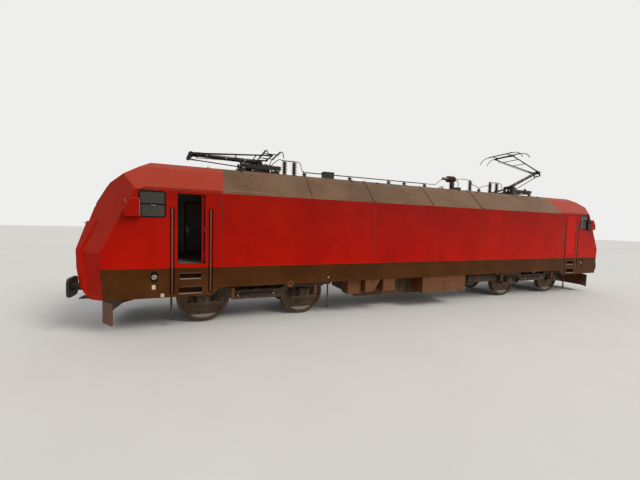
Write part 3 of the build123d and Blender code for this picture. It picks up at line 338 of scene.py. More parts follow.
def makePorcelain():
    # glazed brown insulators with dust on the upper side of each rib
    tree, body = startMaterial("porcelain", 0.0, 0.25)
    color = mottled(tree, (74, 44, 30), (52, 32, 24), 0.15, 0.7)
    dust = use(tree, dustGroup, Color=color, Dust=(96, 78, 62), Low=0.0, High=0.1, Amount=0.0, On_Top=0.7)
    rough = spread(tree, dust["Mask"], 0.22, 0.7)
    finishMaterial(tree, body, dust["Color"], rough, fineHeight(tree, 0.01, 0.2), 0.08, 0.001)


def makeWheelSteel():
    # bright tread on a rusty web
    tree, body = startMaterial("wheelSteel", 0.6)
    axis = put(tree, "SeparateXYZ", Vector=objectPlace(tree)).outputs
    across = calc(tree, "ABSOLUTE", axis[1])
    worn = times(tree, calc(tree, "GREATER_THAN", across, 0.7), calc(tree, "LESS_THAN", across, 0.8))
    worn = times(tree, times(tree, worn, calc(tree, "LESS_THAN", axis[2], 0.2)), 0.7)
    base = mottled(tree, (84, 66, 50), (58, 44, 34), 0.25, 0.8)
    rust = use(tree, rustGroup, Color=base, Rust=(96, 56, 34), Size=0.1, Amount=0.45)
    color = mixed(tree, worn, rust["Color"], (150, 146, 140))
    rough = spread(tree, rust["Mask"], 0.42, 0.8)
    finishMaterial(tree, body, color, rough, fineHeight(tree, 0.008, 0.5), 0.2, 0.002)


# what a weathered finish has where its own look says nothing else
usualLook = {"metal": 0.0, "coat": 0.0, "shine": 0.2, "patch": 0.7, "mottle": 0.6, "rust": (92, 52, 30),
             "rustSize": 0.12, "rusty": 0.15, "dust": (112, 84, 58), "low": 0.2, "high": 1.4, "dusty": 0.35,
             "onTop": 0.3, "grain": 0.012, "coarse": 0.35, "rough": 0.45, "dull": 0.88, "bump": 0.18, "depth": 0.002}


def weathered(name, **look):
    # painted or bare metal with slow shade changes, dust, rust and a fine skin
    look = {"shade": tone(*look["color"], 0.62), **usualLook, **look}
    tree, body = startMaterial(name, look["metal"], look["coat"], 0.15, look["shine"])
    color = mottled(tree, look["color"], look["shade"], look["patch"], look["mottle"])
    rust = use(tree, rustGroup, Color=color, Rust=look["rust"], Size=look["rustSize"], Amount=look["rusty"])
    dust = use(tree, dustGroup, Color=rust["Color"], Dust=look["dust"], Low=look["low"], High=look["high"],
               Amount=look["dusty"], On_Top=look["onTop"])
    rough = spread(tree, calc(tree, "MAXIMUM", rust["Mask"], dust["Mask"]), look["rough"], look["dull"])
    height = fineHeight(tree, look["grain"], look["coarse"])
    finishMaterial(tree, body, dust["Color"], rough, height, look["bump"], look["depth"])


makeBodyPaint("bodyPaint", True)
makeBodyPaint("wallPaint")
makeBodyPaint("doorPaint", groundLitReds=((186, 6, 1), (170, 8, 2)))
makeRoofPaint()
makeWindowGlass("paneGlass", (112, 100, 84), 0.05)
makeWindowGlass("lensGlass", (236, 236, 228), 0.03)
makeCloth()
makePorcelain()
makeWheelSteel()
weathered("frameSteel", color=(48, 40, 33), rough=0.55, dusty=0.55, rusty=0.3)
weathered("gearSteel", color=(46, 38, 31), rough=0.5, dusty=0.5, rusty=0.3, coarse=0.6, bump=0.3)
weathered("boxPaint", color=(94, 44, 5), shade=(74, 40, 10), rough=0.42, coat=0.15, rusty=0.16, low=0.4, high=1.3)
weathered("steelRail", color=(116, 92, 80), metal=0.9, rough=0.32, dusty=0.12, rusty=0.1, onTop=0.05, bump=0.06)
weathered("rubberBlack", color=(20, 19, 18), rough=0.7, shine=0.1, rusty=0.0, dusty=0.1, onTop=0.15, grain=0.006,
          mottle=0.5)
weathered("cabGrey", color=(120, 116, 106), rough=0.6, rusty=0.0, dusty=0.1, low=1.5, high=1.9)
weathered("deskGrey", color=(70, 72, 72), rough=0.55, rusty=0.0, dusty=0.05, onTop=0.1)
weathered("blackPaint", color=(36, 32, 30), dusty=0.2, rusty=0.12, coat=0.1)
weathered("panSteel", color=(44, 38, 34), dusty=0.0, onTop=0.25, rusty=0.16, metal=0.3)
weathered("copperBar", color=(66, 45, 34), metal=0.5, rough=0.5, dusty=0.0, onTop=0.35, rusty=0.25, rust=(70, 84, 70))
weathered("antennaWhite", color=(214, 212, 204), rough=0.32, rusty=0.05, dusty=0.0, onTop=0.2, coat=0.2)
weathered("mirrorGlass", color=(190, 196, 198), metal=1.0, rough=0.06, rusty=0.0, dusty=0.0, onTop=0.1, bump=0.02,
          mottle=0.3)
weathered("carbonStrip", color=(40, 40, 42), rough=0.5, rusty=0.0, dusty=0.0, metal=0.2)
weathered("copperBraid", color=(58, 42, 33), metal=0.4, rough=0.55, dusty=0.0, rusty=0.2, grain=0.004, bump=0.4)
weathered("galvanized", color=(150, 146, 138), metal=0.7, dusty=0.25)
weathered("creamMark", color=(206, 196, 170), rough=0.5, rusty=0.1, dusty=0.3, low=0.6, high=1.5)
weathered("lampSilver", color=(216, 214, 206), metal=1.0, rough=0.14, rusty=0.0, dusty=0.0, onTop=0.0, bump=0.03,
          mottle=0.2)
weathered("seamDust", color=(150, 128, 106), rough=0.8, dusty=0.0, rusty=0.2)
print("materials made:", len(paints))

frameDress = {
    "doorPaint": [f"door_{end}_{flank}" for end in ends for flank in flanks],
    "bodyPaint": ["cab_left_shell", "cab_right_shell", "outside_mirrors", "rain_gutters"],
    "wallPaint": ["side_wall_near", "side_wall_far"],
    "roofPaint": ["roof_hoods"],
    "cabGrey": ["cab_floors", "cab_bulkheads"],
    "deskGrey": ["drivers_desks"],
    "seatCloth": ["drivers_seats"],
    "paneGlass": ["windscreens", "side_windows"],
    "lensGlass": ["head_lamps"],
    "rubberBlack": ["window_frames"],
    "steelRail": ["hand_rails"],
    # the transformer tank gets the dark frame steel as painted shade, for the deep shadow under the body
    "frameSteel": ["underframe", "machine_block", "shunter_treads", "air_reservoirs", "draw_gear", "transformer_tank"],
    "blackPaint": ["buffers"],
    "boxPaint": ["rail_guards", "side_boxes"],
    "porcelain": ["roof_insulators", "circuit_breaker"],
    "copperBar": ["bus_bars"],
    "antennaWhite": ["roof_antennas"],
    "panSteel": [f"pan_{end}_{part}" for end in ends for part in ("base", "lower_arm", "upper_arm", "head", "rod")],
    "gearSteel": [f"bogie_{end}_{part}" for end in ends
                  for part in ("frame", "axle_boxes", "springs", "motors", "sand_pipes")],
    "wheelSteel": [f"wheelset_{number}" for number in range(1, 5)],
}
for finish, names in frameDress.items():
    for name in names:
        mesh = nodes[name].data
        mesh.materials.clear()
        mesh.materials.append(paints[finish])
for node in nodes.values():
    node.data.polygons.foreach_set("use_smooth", [True] * len(node.data.polygons))
    node.data.set_sharp_from_angle(angle=math.radians(32))
print("frame dressed")


# mesh tools: a shape is a plain list of points and faces, and becomes a piece at the end

def newShape():
    return {"points": [], "faces": [], "finish": []}


def around(middle, half):
    return middle - half, middle + half


def addFaces(shape, points, faces, finish=0, place=None):
    first = len(shape["points"])
    for point in points:
        shape["points"].append(tuple(place @ Vector(point)) if place else tuple(point))
    shape["faces"] += [[first + corner for corner in face] for face in faces]
    shape["finish"] += [finish] * len(faces)


def merge(shape, part, place=None):
    # adds another shape with its finishes
    addFaces(shape, part["points"], part["faces"], 0, place)
    shape["finish"][-len(part["finish"]):] = part["finish"]


def addBlock(shape, x, y, z, finish=0, place=None):
    x, y, z = sorted(x), sorted(y), sorted(z)
    points = [(px, py, pz) for pz in z for py in y for px in x]
    faces = [(0, 2, 3, 1), (4, 5, 7, 6), (0, 1, 5, 4), (2, 6, 7, 3), (0, 4, 6, 2), (1, 3, 7, 5)]
    addFaces(shape, points, faces, finish, place)


def skinFaces(rings, sides, closed=False):
    # faces between rings of points; open ends are capped by the last two faces, closed rings meet again
    faces = []
    for ring in range(rings if closed else rings - 1):
        upper = (ring + 1) % rings
        for step in range(sides):
            side = (step + 1) % sides
            faces.append((ring * sides + step, ring * sides + side, upper * sides + side, upper * sides + step))
    if not closed:
        faces += [tuple(reversed(range(sides))), tuple(range((rings - 1) * sides, rings * sides))]
    return faces


def circle(sides, start=0.0):
    turns = [2 * math.pi * (step + start) / sides for step in range(sides)]
    return [(math.cos(turn), math.sin(turn)) for turn in turns]


def addLathe(shape, outline, start, direction, sides=24, finish=0, closed=False):
    # turns an outline of (distance, radius) round an axis
    place = Matrix.Translation(start) @ Vector(direction).to_track_quat("Z", "X").to_matrix().to_4x4()
    points = [(radius * a, radius * b, distance) for distance, radius in outline for a, b in circle(sides)]
    addFaces(shape, points, skinFaces(len(outline), sides, closed), finish, place)


def addDisc(shape, height, foot, head, start, direction, sides=12, finish=0):
    # a short round piece: its height and the radius at its foot and head
    addLathe(shape, [(0, foot), (height, head)], start, direction, sides, finish)


def addBand(shape, half, inner, outer, start, direction, sides, finish=0):
    # a plain ring round a tube
    outline = [(-half, inner), (-half, outer), (half, outer), (half, inner)]
    addLathe(shape, outline, start, direction, sides, finish, True)


def addRod(shape, start, end, radius, sides=12, finish=0, edge=0.0):
    line = Vector(end) - Vector(start)
    long = line.length
    outline = [(0, radius), (long, radius)]
    if edge:
        outline = [(0, radius - edge), (edge, radius), (long - edge, radius), (long, radius - edge)]
    addLathe(shape, outline, start, line, sides, finish)


def smoothRun(points, steps=6):
    # a rounded run through the points
    points = [Vector(point) for point in points]
    ends = [points[0] * 2 - points[1], *points, points[-1] * 2 - points[-2]]
    run = []
    for index in range(1, len(ends) - 2):
        a, b, c, d = ends[index - 1:index + 3]
        for step in range(steps):
            t = step / steps
            cube, square = 3 * b - a - 3 * c + d, 2 * a - 5 * b + 4 * c - d
            run.append(0.5 * (2 * b + (c - a) * t + square * t * t + cube * t ** 3))
    return run + [points[-1]]


def addTube(shape, run, radius, sides=8, finish=0):
    # a round tube along a run of points, its ends closed
    run = [Vector(point) for point in run]
    points, side = [], None
    for index, point in enumerate(run):
        ahead = (run[min(index + 1, len(run) - 1)] - run[max(index - 1, 0)]).normalized()
        if side is None:
            side = ahead.orthogonal().normalized()
        side = (side - ahead * side.dot(ahead)).normalized()
        other = ahead.cross(side)
        points += [point + side * (radius * a) + other * (radius * b) for a, b in circle(sides)]
    addFaces(shape, points, skinFaces(len(run), sides), finish)


def addPlate(shape, outline, low, high, way="y", finish=0, place=None):
    # an outline in the other two axes, thickened from low to high along x, y or z
    spots = {"x": lambda a, b, c: (c, a, b), "y": lambda a, b, c: (a, c, b), "z": lambda a, b, c: (a, b, c)}[way]
    area = sum(a[0] * b[1] - b[0] * a[1] for a, b in zip(outline, outline[1:] + outline[:1]))
    outline = outline if (area > 0) == (way != "y") else outline[::-1]
    count = len(outline)
    points = [spots(a, b, c) for c in (low, high) for a, b in outline]
    faces = skinFaces(2, count)
    addFaces(shape, points, faces[-2:] + faces[:-2], finish, place)


def addBolt(shape, place, direction, radius=0.012, finish=0):
    # washer, hexagon head and a rounded stub
    addDisc(shape, radius * 0.22, radius * 1.25, radius * 1.25, place, direction, 12, finish)
    head = [(0, radius), (radius * 0.75, radius), (radius * 0.9, radius * 0.85)]
    stub = [(0, radius * 0.5), (radius * 1.3, radius * 0.5), (radius * 1.4, radius * 0.38)]
    for outline, sides in ((head, 6), (stub, 8)):
        addLathe(shape, outline, place, direction, sides, finish)


def addCoil(shape, foot, height, radius, wire, turns, finish=0, sides=8):
    run, steps = [], int(turns * 16)
    for step in range(steps + 1):
        share = step / steps
        turn = 2 * math.pi * turns * share
        rise = wire + (height - 2 * wire) * share
        run.append(Vector(foot) + Vector((radius * math.cos(turn), radius * math.sin(turn), rise)))
    addTube(shape, run, wire, sides, finish)


def flipped(shape, axis):
    # the same shape on the other side (y) or the other end (x)
    sign = [-1 if name == axis else 1 for name in "xyz"]
    points = [tuple(part * way for part, way in zip(point, sign)) for point in shape["points"]]
    return {"points": points, "faces": [face[::-1] for face in shape["faces"]], "finish": list(shape["finish"])}


def doubled(shape, axis):
    whole = newShape()
    merge(whole, shape)
    merge(whole, flipped(shape, axis))
    return whole


def bothSides(shape):
    return doubled(shape, "y")


def bothEnds(shape):
    return doubled(shape, "x")


def makePiece(name, shape, finishes, body="body", instead=None, edge=0.0, angle=35):
    mesh = bpy.data.meshes.new(name)
    mesh.from_pydata(shape["points"], [], shape["faces"])
    for finish in finishes.split():
        mesh.materials.append(paints[finish])
    mesh.polygons.foreach_set("material_index", shape["finish"])
    mesh.polygons.foreach_set("use_smooth", [True] * len(mesh.polygons))
    mesh.set_sharp_from_angle(angle=math.radians(angle))
    piece = bpy.data.objects.new(name, mesh)
    scene.collection.objects.link(piece)
    if edge:
        bevel = piece.modifiers.new("brokenEdges", "BEVEL")
        bevel.width, bevel.segments, bevel.limit_method, bevel.angle_limit = edge, 2, "ANGLE", math.radians(40)
        bevel.harden_normals = True
    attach(piece, body)
    if instead:
        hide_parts(instead)
    return piece


def addPipe(shape, points, steps, radius, sides=8, finish=0):
    addTube(shape, smoothRun(points, steps), radius, sides, finish)


def addBoss(shape, span, hole, radius, cut, slope, start, direction, sides):
    # a bored boss with chamfered rims
    low, high = span
    outline = [(low, hole), (low, radius - cut), (low + slope, radius), (high - slope, radius), (high, radius - cut),
               (high, hole)]
    addLathe(shape, outline, start, direction, sides, 0, True)


def frameSpans(x, y, width):
    # the four bars of a rectangular frame, each as its span in both axes
    return ((x, (y[0], y[0] + width)), (x, (y[1] - width, y[1])), ((x[0], x[0] + width), y), ((x[1] - width, x[1]), y))


# roof gear: ribbed post insulators, bars with clamps, circuit breaker, knife switch

roofGear = {"row": -0.18, "ribs": 0.082, "core": 0.038, "pitch": 0.046, "tall": 0.48, "short": 0.19, "foot": 0.13,
            "tallAt": (-4.56, -4.26, 2.88, 3.96, 4.33), "shortAt": (-3.93, -2.37, -0.87, -0.22, 0.67, 3.36),
            "footAt": (4.855, 5.805), "footSide": 0.52, "bar": 0.016, "jumper": 0.011}
row = roofGear["row"]
lowBar, highBar = roofTop + roofGear["short"], roofTop + roofGear["tall"]


def ribbedOutline(height, ribs, core, pitch, cap=0.022):
    # metal foot, then thin ribs with a drip edge, then a metal cap
    outline = [(0, ribs * 0.8), (cap * 0.7, ribs * 0.8), (cap, core)]
    count = max(2, int((height - 2 * cap) / pitch))
    step = (height - 2 * cap) / count
    for index in range(count):
        low = cap + index * step
        outline += [(low + step * 0.2, core), (low + step * 0.32, ribs), (low + step * 0.5, ribs),
                    (low + step * 0.82, core * 1.08)]
    return outline + [(height - cap, core), (height - cap * 0.8, ribs * 0.6), (height, ribs * 0.6)]


def makeInsulators():
    shape = newShape()
    spots = [(x, row, roofGear[kind]) for kind in ("tall", "short") for x in roofGear[kind + "At"]]
    spots += [(side * x, y, roofGear["foot"]) for side in (-1, 1) for x in roofGear["footAt"]
              for y in around(0, roofGear["footSide"])]
    for x, y, height in spots:
        outline = ribbedOutline(height, roofGear["ribs"], roofGear["core"], roofGear["pitch"])
        start = Vector((x, y, roofTop))
        for part, finish in ((outline[:3], 1), (outline[2:-2], 0), (outline[-3:], 1)):
            addLathe(shape, part, start, upward, 20, finish)
        for a, b in circle(4, 0.5):
            addBolt(shape, start + Vector((a, b, 0)) * 0.066 + Vector((0, 0, 0.014)), upward, 0.008, 1)
    makePiece("roofPostInsulators", shape, "porcelain galvanized", instead="roof_insulators", angle=28)


def addClamp(shape, x, z):
    # a two-part clamp that holds the bar on its post
    addBlock(shape, around(x, 0.035), around(row, 0.032), (z - 0.014, z + 0.006), 1)
    sleeve = [(-0.03, 0.026), (-0.024, 0.03), (0.024, 0.03), (0.03, 0.026)]
    addLathe(shape, sleeve, (x, row, z + roofGear["bar"]), lengthwise, 12, 1)
    for y in around(row, 0.024):
        addBolt(shape, (x, y, z + 0.006), upward, 0.007, 1)


# braided jumpers: x, the way off the row, and the height over the roof
jumpers = (
    ((-4.2, 0, 0.496), (-4.08, -0.01, 0.46), (-4.02, 0, 0.28), (-3.96, 0, 0.22)),
    ((0.73, 0, 0.206), (1.0, 0, 0.208), (1.2, 0, 0.23), (1.34, 0, 0.34), (1.49, 0, 0.436)),
    ((2.13, 0, 0.44), (2.3, 0, 0.5), (2.6, 0, 0.51), (2.88, 0, 0.492)),
    ((2.88, 0, 0.38), (3.0, 0, 0.35), (3.2, 0, 0.29), (3.36, 0, 0.22)),
    ((3.36, 0, 0.22), (3.52, 0, 0.29), (3.76, 0, 0.35), (3.96, 0, 0.38)),
    ((4.39, 0, 0.496), (4.56, 0, 0.48), (4.7, 0.05, 0.32), (4.83, 0.1, 0.25)),
    ((-4.62, 0, 0.496), (-4.74, 0, 0.51), (-4.9, 0.05, 0.38), (-5.02, 0.1, 0.25)),
)


def makeBars():
    shape, links = newShape(), newShape()
    radius = roofGear["bar"]
    for start, end, z in ((-3.99, 0.73, lowBar), (3.9, 4.39, highBar), (-4.62, -4.2, highBar)):
        addRod(shape, (start, row, z + radius), (end, row, z + radius), radius, 12, 0, 0.004)
    for x in roofGear["shortAt"][:5]:
        addClamp(shape, x, lowBar)
    for x in (-4.56, -4.26, 3.96, 4.33):
        addClamp(shape, x, highBar)
    makePiece("roofBars", shape, "copperBar galvanized", instead="bus_bars")
    sleeve = [(-0.022, 0.012), (-0.018, 0.018), (0.018, 0.018), (0.022, 0.012)]
    for jumper in jumpers:
        run = [(x, row + y, roofTop + z) for x, y, z in jumper]
        addPipe(links, run, 7, roofGear["jumper"])
        for end in (run[0], run[-1]):
            addLathe(links, sleeve, end, upward, 10, 1)
    makePiece("roofJumpers", links, "copperBraid galvanized")


breakerLook = {"at": 1.96, "post": 0.3, "radius": 0.12, "base": 0.06, "fins": 9, "finPitch": 0.034, "switchAt": 1.33,
               "boltsAt": (-0.26, -0.05, 0.16, 0.38), "boltSide": 0.155}


def makeBreaker():
    shape = newShape()
    x, radius, base = breakerLook["at"], breakerLook["radius"], roofTop + breakerLook["base"]
    addBlock(shape, (x - 0.3, x + 0.42), around(row, 0.17), (roofTop, base - 0.02), 1)
    addBlock(shape, (x - 0.27, x + 0.39), around(row, 0.14), (base - 0.02, base), 1)
    for y in around(row, breakerLook["boltSide"]):
        for spot in breakerLook["boltsAt"]:
            addBolt(shape, (x + spot, y, roofTop + 0.04), upward, 0.01, 1)
    addLathe(shape, ribbedOutline(breakerLook["post"], 0.105, 0.07, 0.045), (x, row, base), upward)
    z = base + breakerLook["post"] + radius * 0.8
    outline = [(0, 0.03), (0, 0.07), (0.012, 0.088), (0.05, 0.09)]
    for index in range(breakerLook["fins"]):
        start = 0.06 + index * breakerLook["finPitch"]
        outline += [(start, 0.08), (start + 0.008, radius), (start + 0.016, radius), (start + 0.028, 0.082)]
    outline += [(0.375, 0.07), (0.38, 0.058), (0.56, 0.05), (0.6, 0.045), (0.62, 0.02)]
    addLathe(shape, outline, (x + 0.13, row, z), (-1, 0, 0))
    collar = [(0, 0.05), (0.01, 0.062), (0.05, 0.062), (0.06, 0.05)]
    addLathe(shape, collar, (x - 0.05, row, z - radius * 0.95), upward, 20, 1)
    addBlock(shape, (x + 0.13, x + 0.17), around(row, 0.045), around(z, 0.05), 1)
    addBlock(shape, (x + 0.2, x + 0.36), around(row, 0.1), (base, base + 0.11), 2)
    lead = [(x + 0.3, row, base + 0.1), (x + 0.32, row, base + 0.24), (x + 0.26, row, z - 0.02), (x + 0.16, row, z)]
    addPipe(shape, lead, 6, 0.014, 8, 1)
    addKnifeSwitch(shape, breakerLook["switchAt"])
    makePiece("mainBreaker", shape, "porcelain galvanized blackPaint copperBar",
              instead="circuit_breaker", angle=28)


def addKnifeSwitch(shape, x):
    # two inclined blades on a low base
    addBlock(shape, (x - 0.2, x + 0.26), around(row, 0.11), (roofTop, roofTop + 0.05), 1)
    blade = [(x - 0.12, roofTop + 0.045), (x - 0.09, roofTop + 0.045), (x + 0.22, roofTop + 0.19),
             (x + 0.19, roofTop + 0.19)]
    for y in around(row, 0.045):
        addPlate(shape, blade, y - 0.005, y + 0.005, "y", 3)
        addBlock(shape, (x - 0.14, x - 0.06), around(y, 0.02), (roofTop + 0.05, roofTop + 0.085), 1)
    pin = roofTop + 0.062
    addRod(shape, (x - 0.1, row - 0.09, pin), (x - 0.1, row + 0.09, pin), 0.012, 10, 1)
    addBlock(shape, (x + 0.14, x + 0.22), around(row, 0.035), (roofTop + 0.05, roofTop + 0.13), 1)


hoodLook = {"covers": ((-2.15, 0.05), (2.15, 0.05), (-4.1, 0.012), (0.0, 0.012)),
            "section": ((1.479, shoulder + 0.012), (0.953, 3.814 + railTop), (0.722, roofTop + 0.004)),
            "thick": (0.006, 0.007), "eyes": (-5.9, -2.6, -1.7, 1.7, 2.6, 5.9), "eye": 0.026, "bolts": 23,
            "boltPitch": 0.55, "firstBolt": -6.05, "run": 0.525, "rise": 0.56,
            "marks": (((4.74, 0.14), (5.26, 0.9)), ((6.3, 0.14), (5.2, 0.14), (5.66, 0.9)))}


def makeRoofSeams():
    # cover strips over the hood joints, pale lines on the slopes, bolts along the hoods' feet, lifting eyes
    shape = newShape()
    out, up = hoodLook["thick"]
    section = [*hoodLook["section"], *[(y + out, z + up) for y, z in reversed(hoodLook["section"])]]
    for x, half in hoodLook["covers"]:
        for side in (1, -1):
            addPlate(shape, [(side * y, z) for y, z in section], x - half, x + half, "x")
        addBlock(shape, around(x, half), around(0, 0.724), (roofTop, roofTop + 0.009))
    for side in (-1, 1):
        for way in (-1, 1):
            for mark in hoodLook["marks"]:
                run = [(way * x, side * (halfWidth + 0.0008 - hoodLook["run"] * share),
                        shoulder + 0.0008 + hoodLook["rise"] * share) for x, share in mark]
                addTube(shape, run, 0.007, 6, 2)
        for index in range(hoodLook["bolts"]):
            foot = (hoodLook["firstBolt"] + index * hoodLook["boltPitch"], side * 1.436, shoulder + 0.0416)
            addBolt(shape, foot, (0, side * 0.73, 0.684), 0.011, 1)
        for x in hoodLook["eyes"]:
            spot = Vector((x, side * 0.79, roofTop - 0.043))
            addLathe(shape, [(0, 0.04), (0.012, 0.04), (0.016, 0.02)], spot, (0, side * 0.5, 0.86), 14, 1)
            eye = []
            for part in range(-1, 8):
                turn, radius = math.pi * part / 6, hoodLook["eye"]
                eye.append(spot + Vector((radius * math.cos(turn), side * 0.012, radius * math.sin(turn) + 0.02)))
            addTube(shape, eye, 0.006, 6, 1)
    makePiece("roofSeams", shape, "roofPaint gearSteel seamDust", edge=0.002)


antennaLook = ((-6.69, -0.08, 0.062, 0.15), (-6.96, 0.12, 0.04, 0.08))  # x, y, radius and height of each


def makeAntennas():
    shape = newShape()
    for x, y, radius, height in antennaLook:
        dome = [(0, radius), (0.012, radius), (0.02, radius * 0.8), (height * 0.85, radius * 0.72),
                (height * 0.96, radius * 0.5), (height, radius * 0.15)]
        addLathe(shape, dome, (x, y, roofTop), upward)
        for a, b in circle(6):
            addBolt(shape, (x + a * radius * 0.9, y + b * radius * 0.9, roofTop + 0.012), upward, 0.005, 1)
    makePiece("roofAntennas", shape, "antennaWhite galvanized", instead="roof_antennas")


hornLook = {"at": 7.42, "rise": 0.08, "pair": ((0.36, 0.3), (0.46, 0.24)), "plate": (0.3, 0.52)}


def makeHorns():
    # a pair of horns of two lengths at each end
    shape = newShape()
    for side in (-1, 1):
        for y, long in hornLook["pair"]:
            bell = [(0, 0.016), (0.03, 0.022), (long * 0.6, 0.026), (long * 0.85, 0.04), (long, 0.062),
                    (long + 0.004, 0.058), (long * 0.86, 0.034), (long * 0.7, 0.012)]
            addLathe(shape, bell, (side * hornLook["at"], y, roofTop + hornLook["rise"]), (side, 0, 0), 20)
            addBlock(shape, (side * 7.4, side * 7.46), around(y, 0.02), (roofTop - 0.004, roofTop + 0.07))
        addBlock(shape, (side * 7.36, side * 7.5), hornLook["plate"], (roofTop, roofTop + 0.012))
    makePiece("roofHorns", shape, "blackPaint", edge=0.0015)


cableBox = {"at": -3.24, "long": 0.34, "near": -0.5, "far": -0.29, "high": 0.23, "lid": 0.02, "lip": 0.012}


def makeCableBox():
    # low cable box beside the bus bar, with a bolted lid and two glands toward the bar
    shape = newShape()
    x, half, near, far = cableBox["at"], cableBox["long"] / 2, cableBox["near"], cableBox["far"]
    top, lip = roofTop + cableBox["high"], cableBox["lip"]
    under, sill = top - cableBox["lid"], roofTop + 0.025
    for foot in around(x, half - 0.05):
        addBlock(shape, around(foot, 0.025), (near - 0.03, far + 0.03), (roofTop, sill), 1)
    addBlock(shape, around(x, half), (near, far), (sill, under))
    addBlock(shape, around(x, half + lip), (near - lip, far + lip), (under, top))
    for spot in (x - half + 0.02, x, x + half - 0.02):
        for side in (near + lip, far - lip):
            addBolt(shape, (spot, side, top), upward, 0.008, 1)
    gland = [(0, 0.026), (0.02, 0.026), (0.024, 0.016), (0.05, 0.014)]
    for spot in around(x, 0.07):
        addLathe(shape, gland, (spot, far, roofTop + 0.13), crosswise, 16, 1)
    makePiece("roofCableBox", shape, "panSteel galvanized", edge=0.004)


makeInsulators()
makeBars()
makeBreaker()
makeRoofSeams()
makeAntennas()
makeHorns()
makeCableBox()
print("roof gear made")


# pantographs: each arm, head and rod keeps the pivots of the frame

panLook = {"upperSpread": 0.4, "knee": 0.15, "boss": 0.062, "strip": 0.56, "reach": 0.975, "gap": 0.42, "rise": 0.07,
           "drop": 0.24, "rocker": 0.3, "lever": (0.066, -0.146), "leverTurn": {"left": 9.2, "right": 0.0}}
kneeWay = {"left": -1, "right": 1}


def panPivots(end, *joints):
    return [pivots[f"pan_{end}_{joint}"] for joint in joints]


def makePanPiece(end, name, shape, part, finishes="panSteel galvanized"):
    makePiece(f"pan_{end}_{name}", shape, finishes, f"pan_{end}_{part}", f"pan_{end}_{part}")


def rodEye(end):
    # where the coupling rod's upper eye is: the knee's lever, turned with the arm's own angle
    up, (run, fall) = math.radians(panLook["leverTurn"][end]), panLook["lever"]
    reach = run * math.cos(up) - fall * math.sin(up)
    rise = run * math.sin(up) + fall * math.cos(up)
    return panPivots(end, "knee")[0] + Vector((kneeWay[end] * reach, 0, rise))


def makeLowerArm(end):
    arm, knee = panPivots(end, "raise", "knee")
    shape = newShape()
    line, long, radius = (knee - arm).normalized(), (knee - arm).length, panLook["boss"]
    outline = [(0.02, 0.05), (0.05, 0.066), (0.16, 0.066), (0.2, 0.058), (long - 0.22, 0.05), (long - 0.16, 0.058),
               (long - 0.05, 0.058), (long - 0.03, 0.045)]
    addLathe(shape, outline, arm, line)
    for pivot, half, hole in ((arm, 0.15, 0.0264), (knee, 0.09, 0.0224)):
        addBoss(shape, (-half, half), hole, radius, 0.006, 0.008, pivot, crosswise, 28)
        for y in around(0, half * 0.62):
            addBand(shape, 0.008, radius - 0.002, radius + 0.007, pivot + Vector((0, y, 0)), crosswise, 28)
    for side in (-1, 1):
        for share in (0.1, 0.9):
            addBolt(shape, arm + line * (long * share) + Vector((0, side * 0.05, 0)), (0, side, 0), 0.01, 1)
    for share in (0.22, 0.5, 0.78):
        addBand(shape, 0.012, 0.05, 0.062, arm + line * (long * share), line, 20, 1)
    rise = Vector((-line.z, 0, line.x)) * (kneeWay[end] * 0.068)
    addTube(shape, [arm + line * (long * share) + rise for share in (0.1, 0.3, 0.6, 0.88)], 0.007, 8, 1)
    makePanPiece(end, "lowerTube", shape, "lower_arm")


def addCross(shape, middle, reach, radius, sides, edge=0.0):
    # a rod across the vehicle
    addRod(shape, middle - Vector((0, reach, 0)), middle + Vector((0, reach, 0)), radius, sides, 0, edge)


def makeUpperArm(end):
    knee, head = panPivots(end, "knee", "head_tilt")
    eye = rodEye(end)
    shape = newShape()
    half, spread = panLook["knee"], panLook["upperSpread"]
    lever = (eye - knee).normalized()
    wide = Vector((-lever.z, 0, lever.x))
    corners = [knee - wide * 0.05, knee + wide * 0.05, eye + wide * 0.028, eye + lever * 0.026, eye - wide * 0.028]
    cheek = [(0.091, 0.03), (0.091, 0.05), (0.096, 0.054), (half - 0.006, 0.054), (half, 0.048), (half, 0.02)]
    for side in (-1, 1):
        outward = (0, side, 0)
        addLathe(shape, cheek, knee, outward)
        foot = knee + Vector((0, side * (half - 0.025), 0))
        tip = Vector((head.x, side * spread, head.z))
        line, long = (tip - foot).normalized(), (tip - foot).length
        outline = [(0.03, 0.03), (0.05, 0.034), (0.24, 0.034), (0.3, 0.025), (long - 0.34, 0.02), (long - 0.12, 0.022),
                   (long - 0.02, 0.024)]
        addLathe(shape, outline, foot, line, 18)
        inner, outer = sorted((side * (half - 0.045), side * (half - 0.015)))
        addPlate(shape, [(corner.x, corner.z) for corner in corners], inner, outer)
        for share in (0.12, 0.3):
            addBolt(shape, foot + line * (long * share) + Vector((0, side * 0.03, 0)), outward, 0.009, 1)
        socket = [(-0.02, 0.028), (-0.014, 0.034), (0.02, 0.034), (0.024, 0.026)]
        addLathe(shape, socket, tip - Vector((0, side * 0.012, 0)), outward, 18)
        for share in (0.62, 0.9):
            addBand(shape, 0.01, 0.022, 0.028, foot + line * (long * share), line, 16, 1)
    addCross(shape, knee, half, 0.0215, 20, 0.003)
    addCross(shape, eye, half - 0.01, 0.0115, 14)
    addCross(shape, head, spread + 0.02, 0.0195, 18, 0.003)
    for share in (0.55, 0.8):
        addCross(shape, knee.lerp(head, share), half * (1 - share) + spread * share - 0.02, 0.015, 12)
    slope = Vector((head.x - knee.x, 0, head.z - knee.z)).normalized()
    below = Vector((slope.z, 0, -slope.x)) * math.copysign(0.075, slope.x)
    stay = []
    for share, y in ((0.06, half - 0.05), (0.93, spread - 0.06)):
        middle = knee.lerp(head, share) + Vector((0, y, 0))
        stay.append(middle + below)
        addRod(shape, middle, stay[-1], 0.014, 10)
    addRod(shape, *stay, 0.009, 10)
    makePanPiece(end, "upperTubes", shape, "upper_arm")


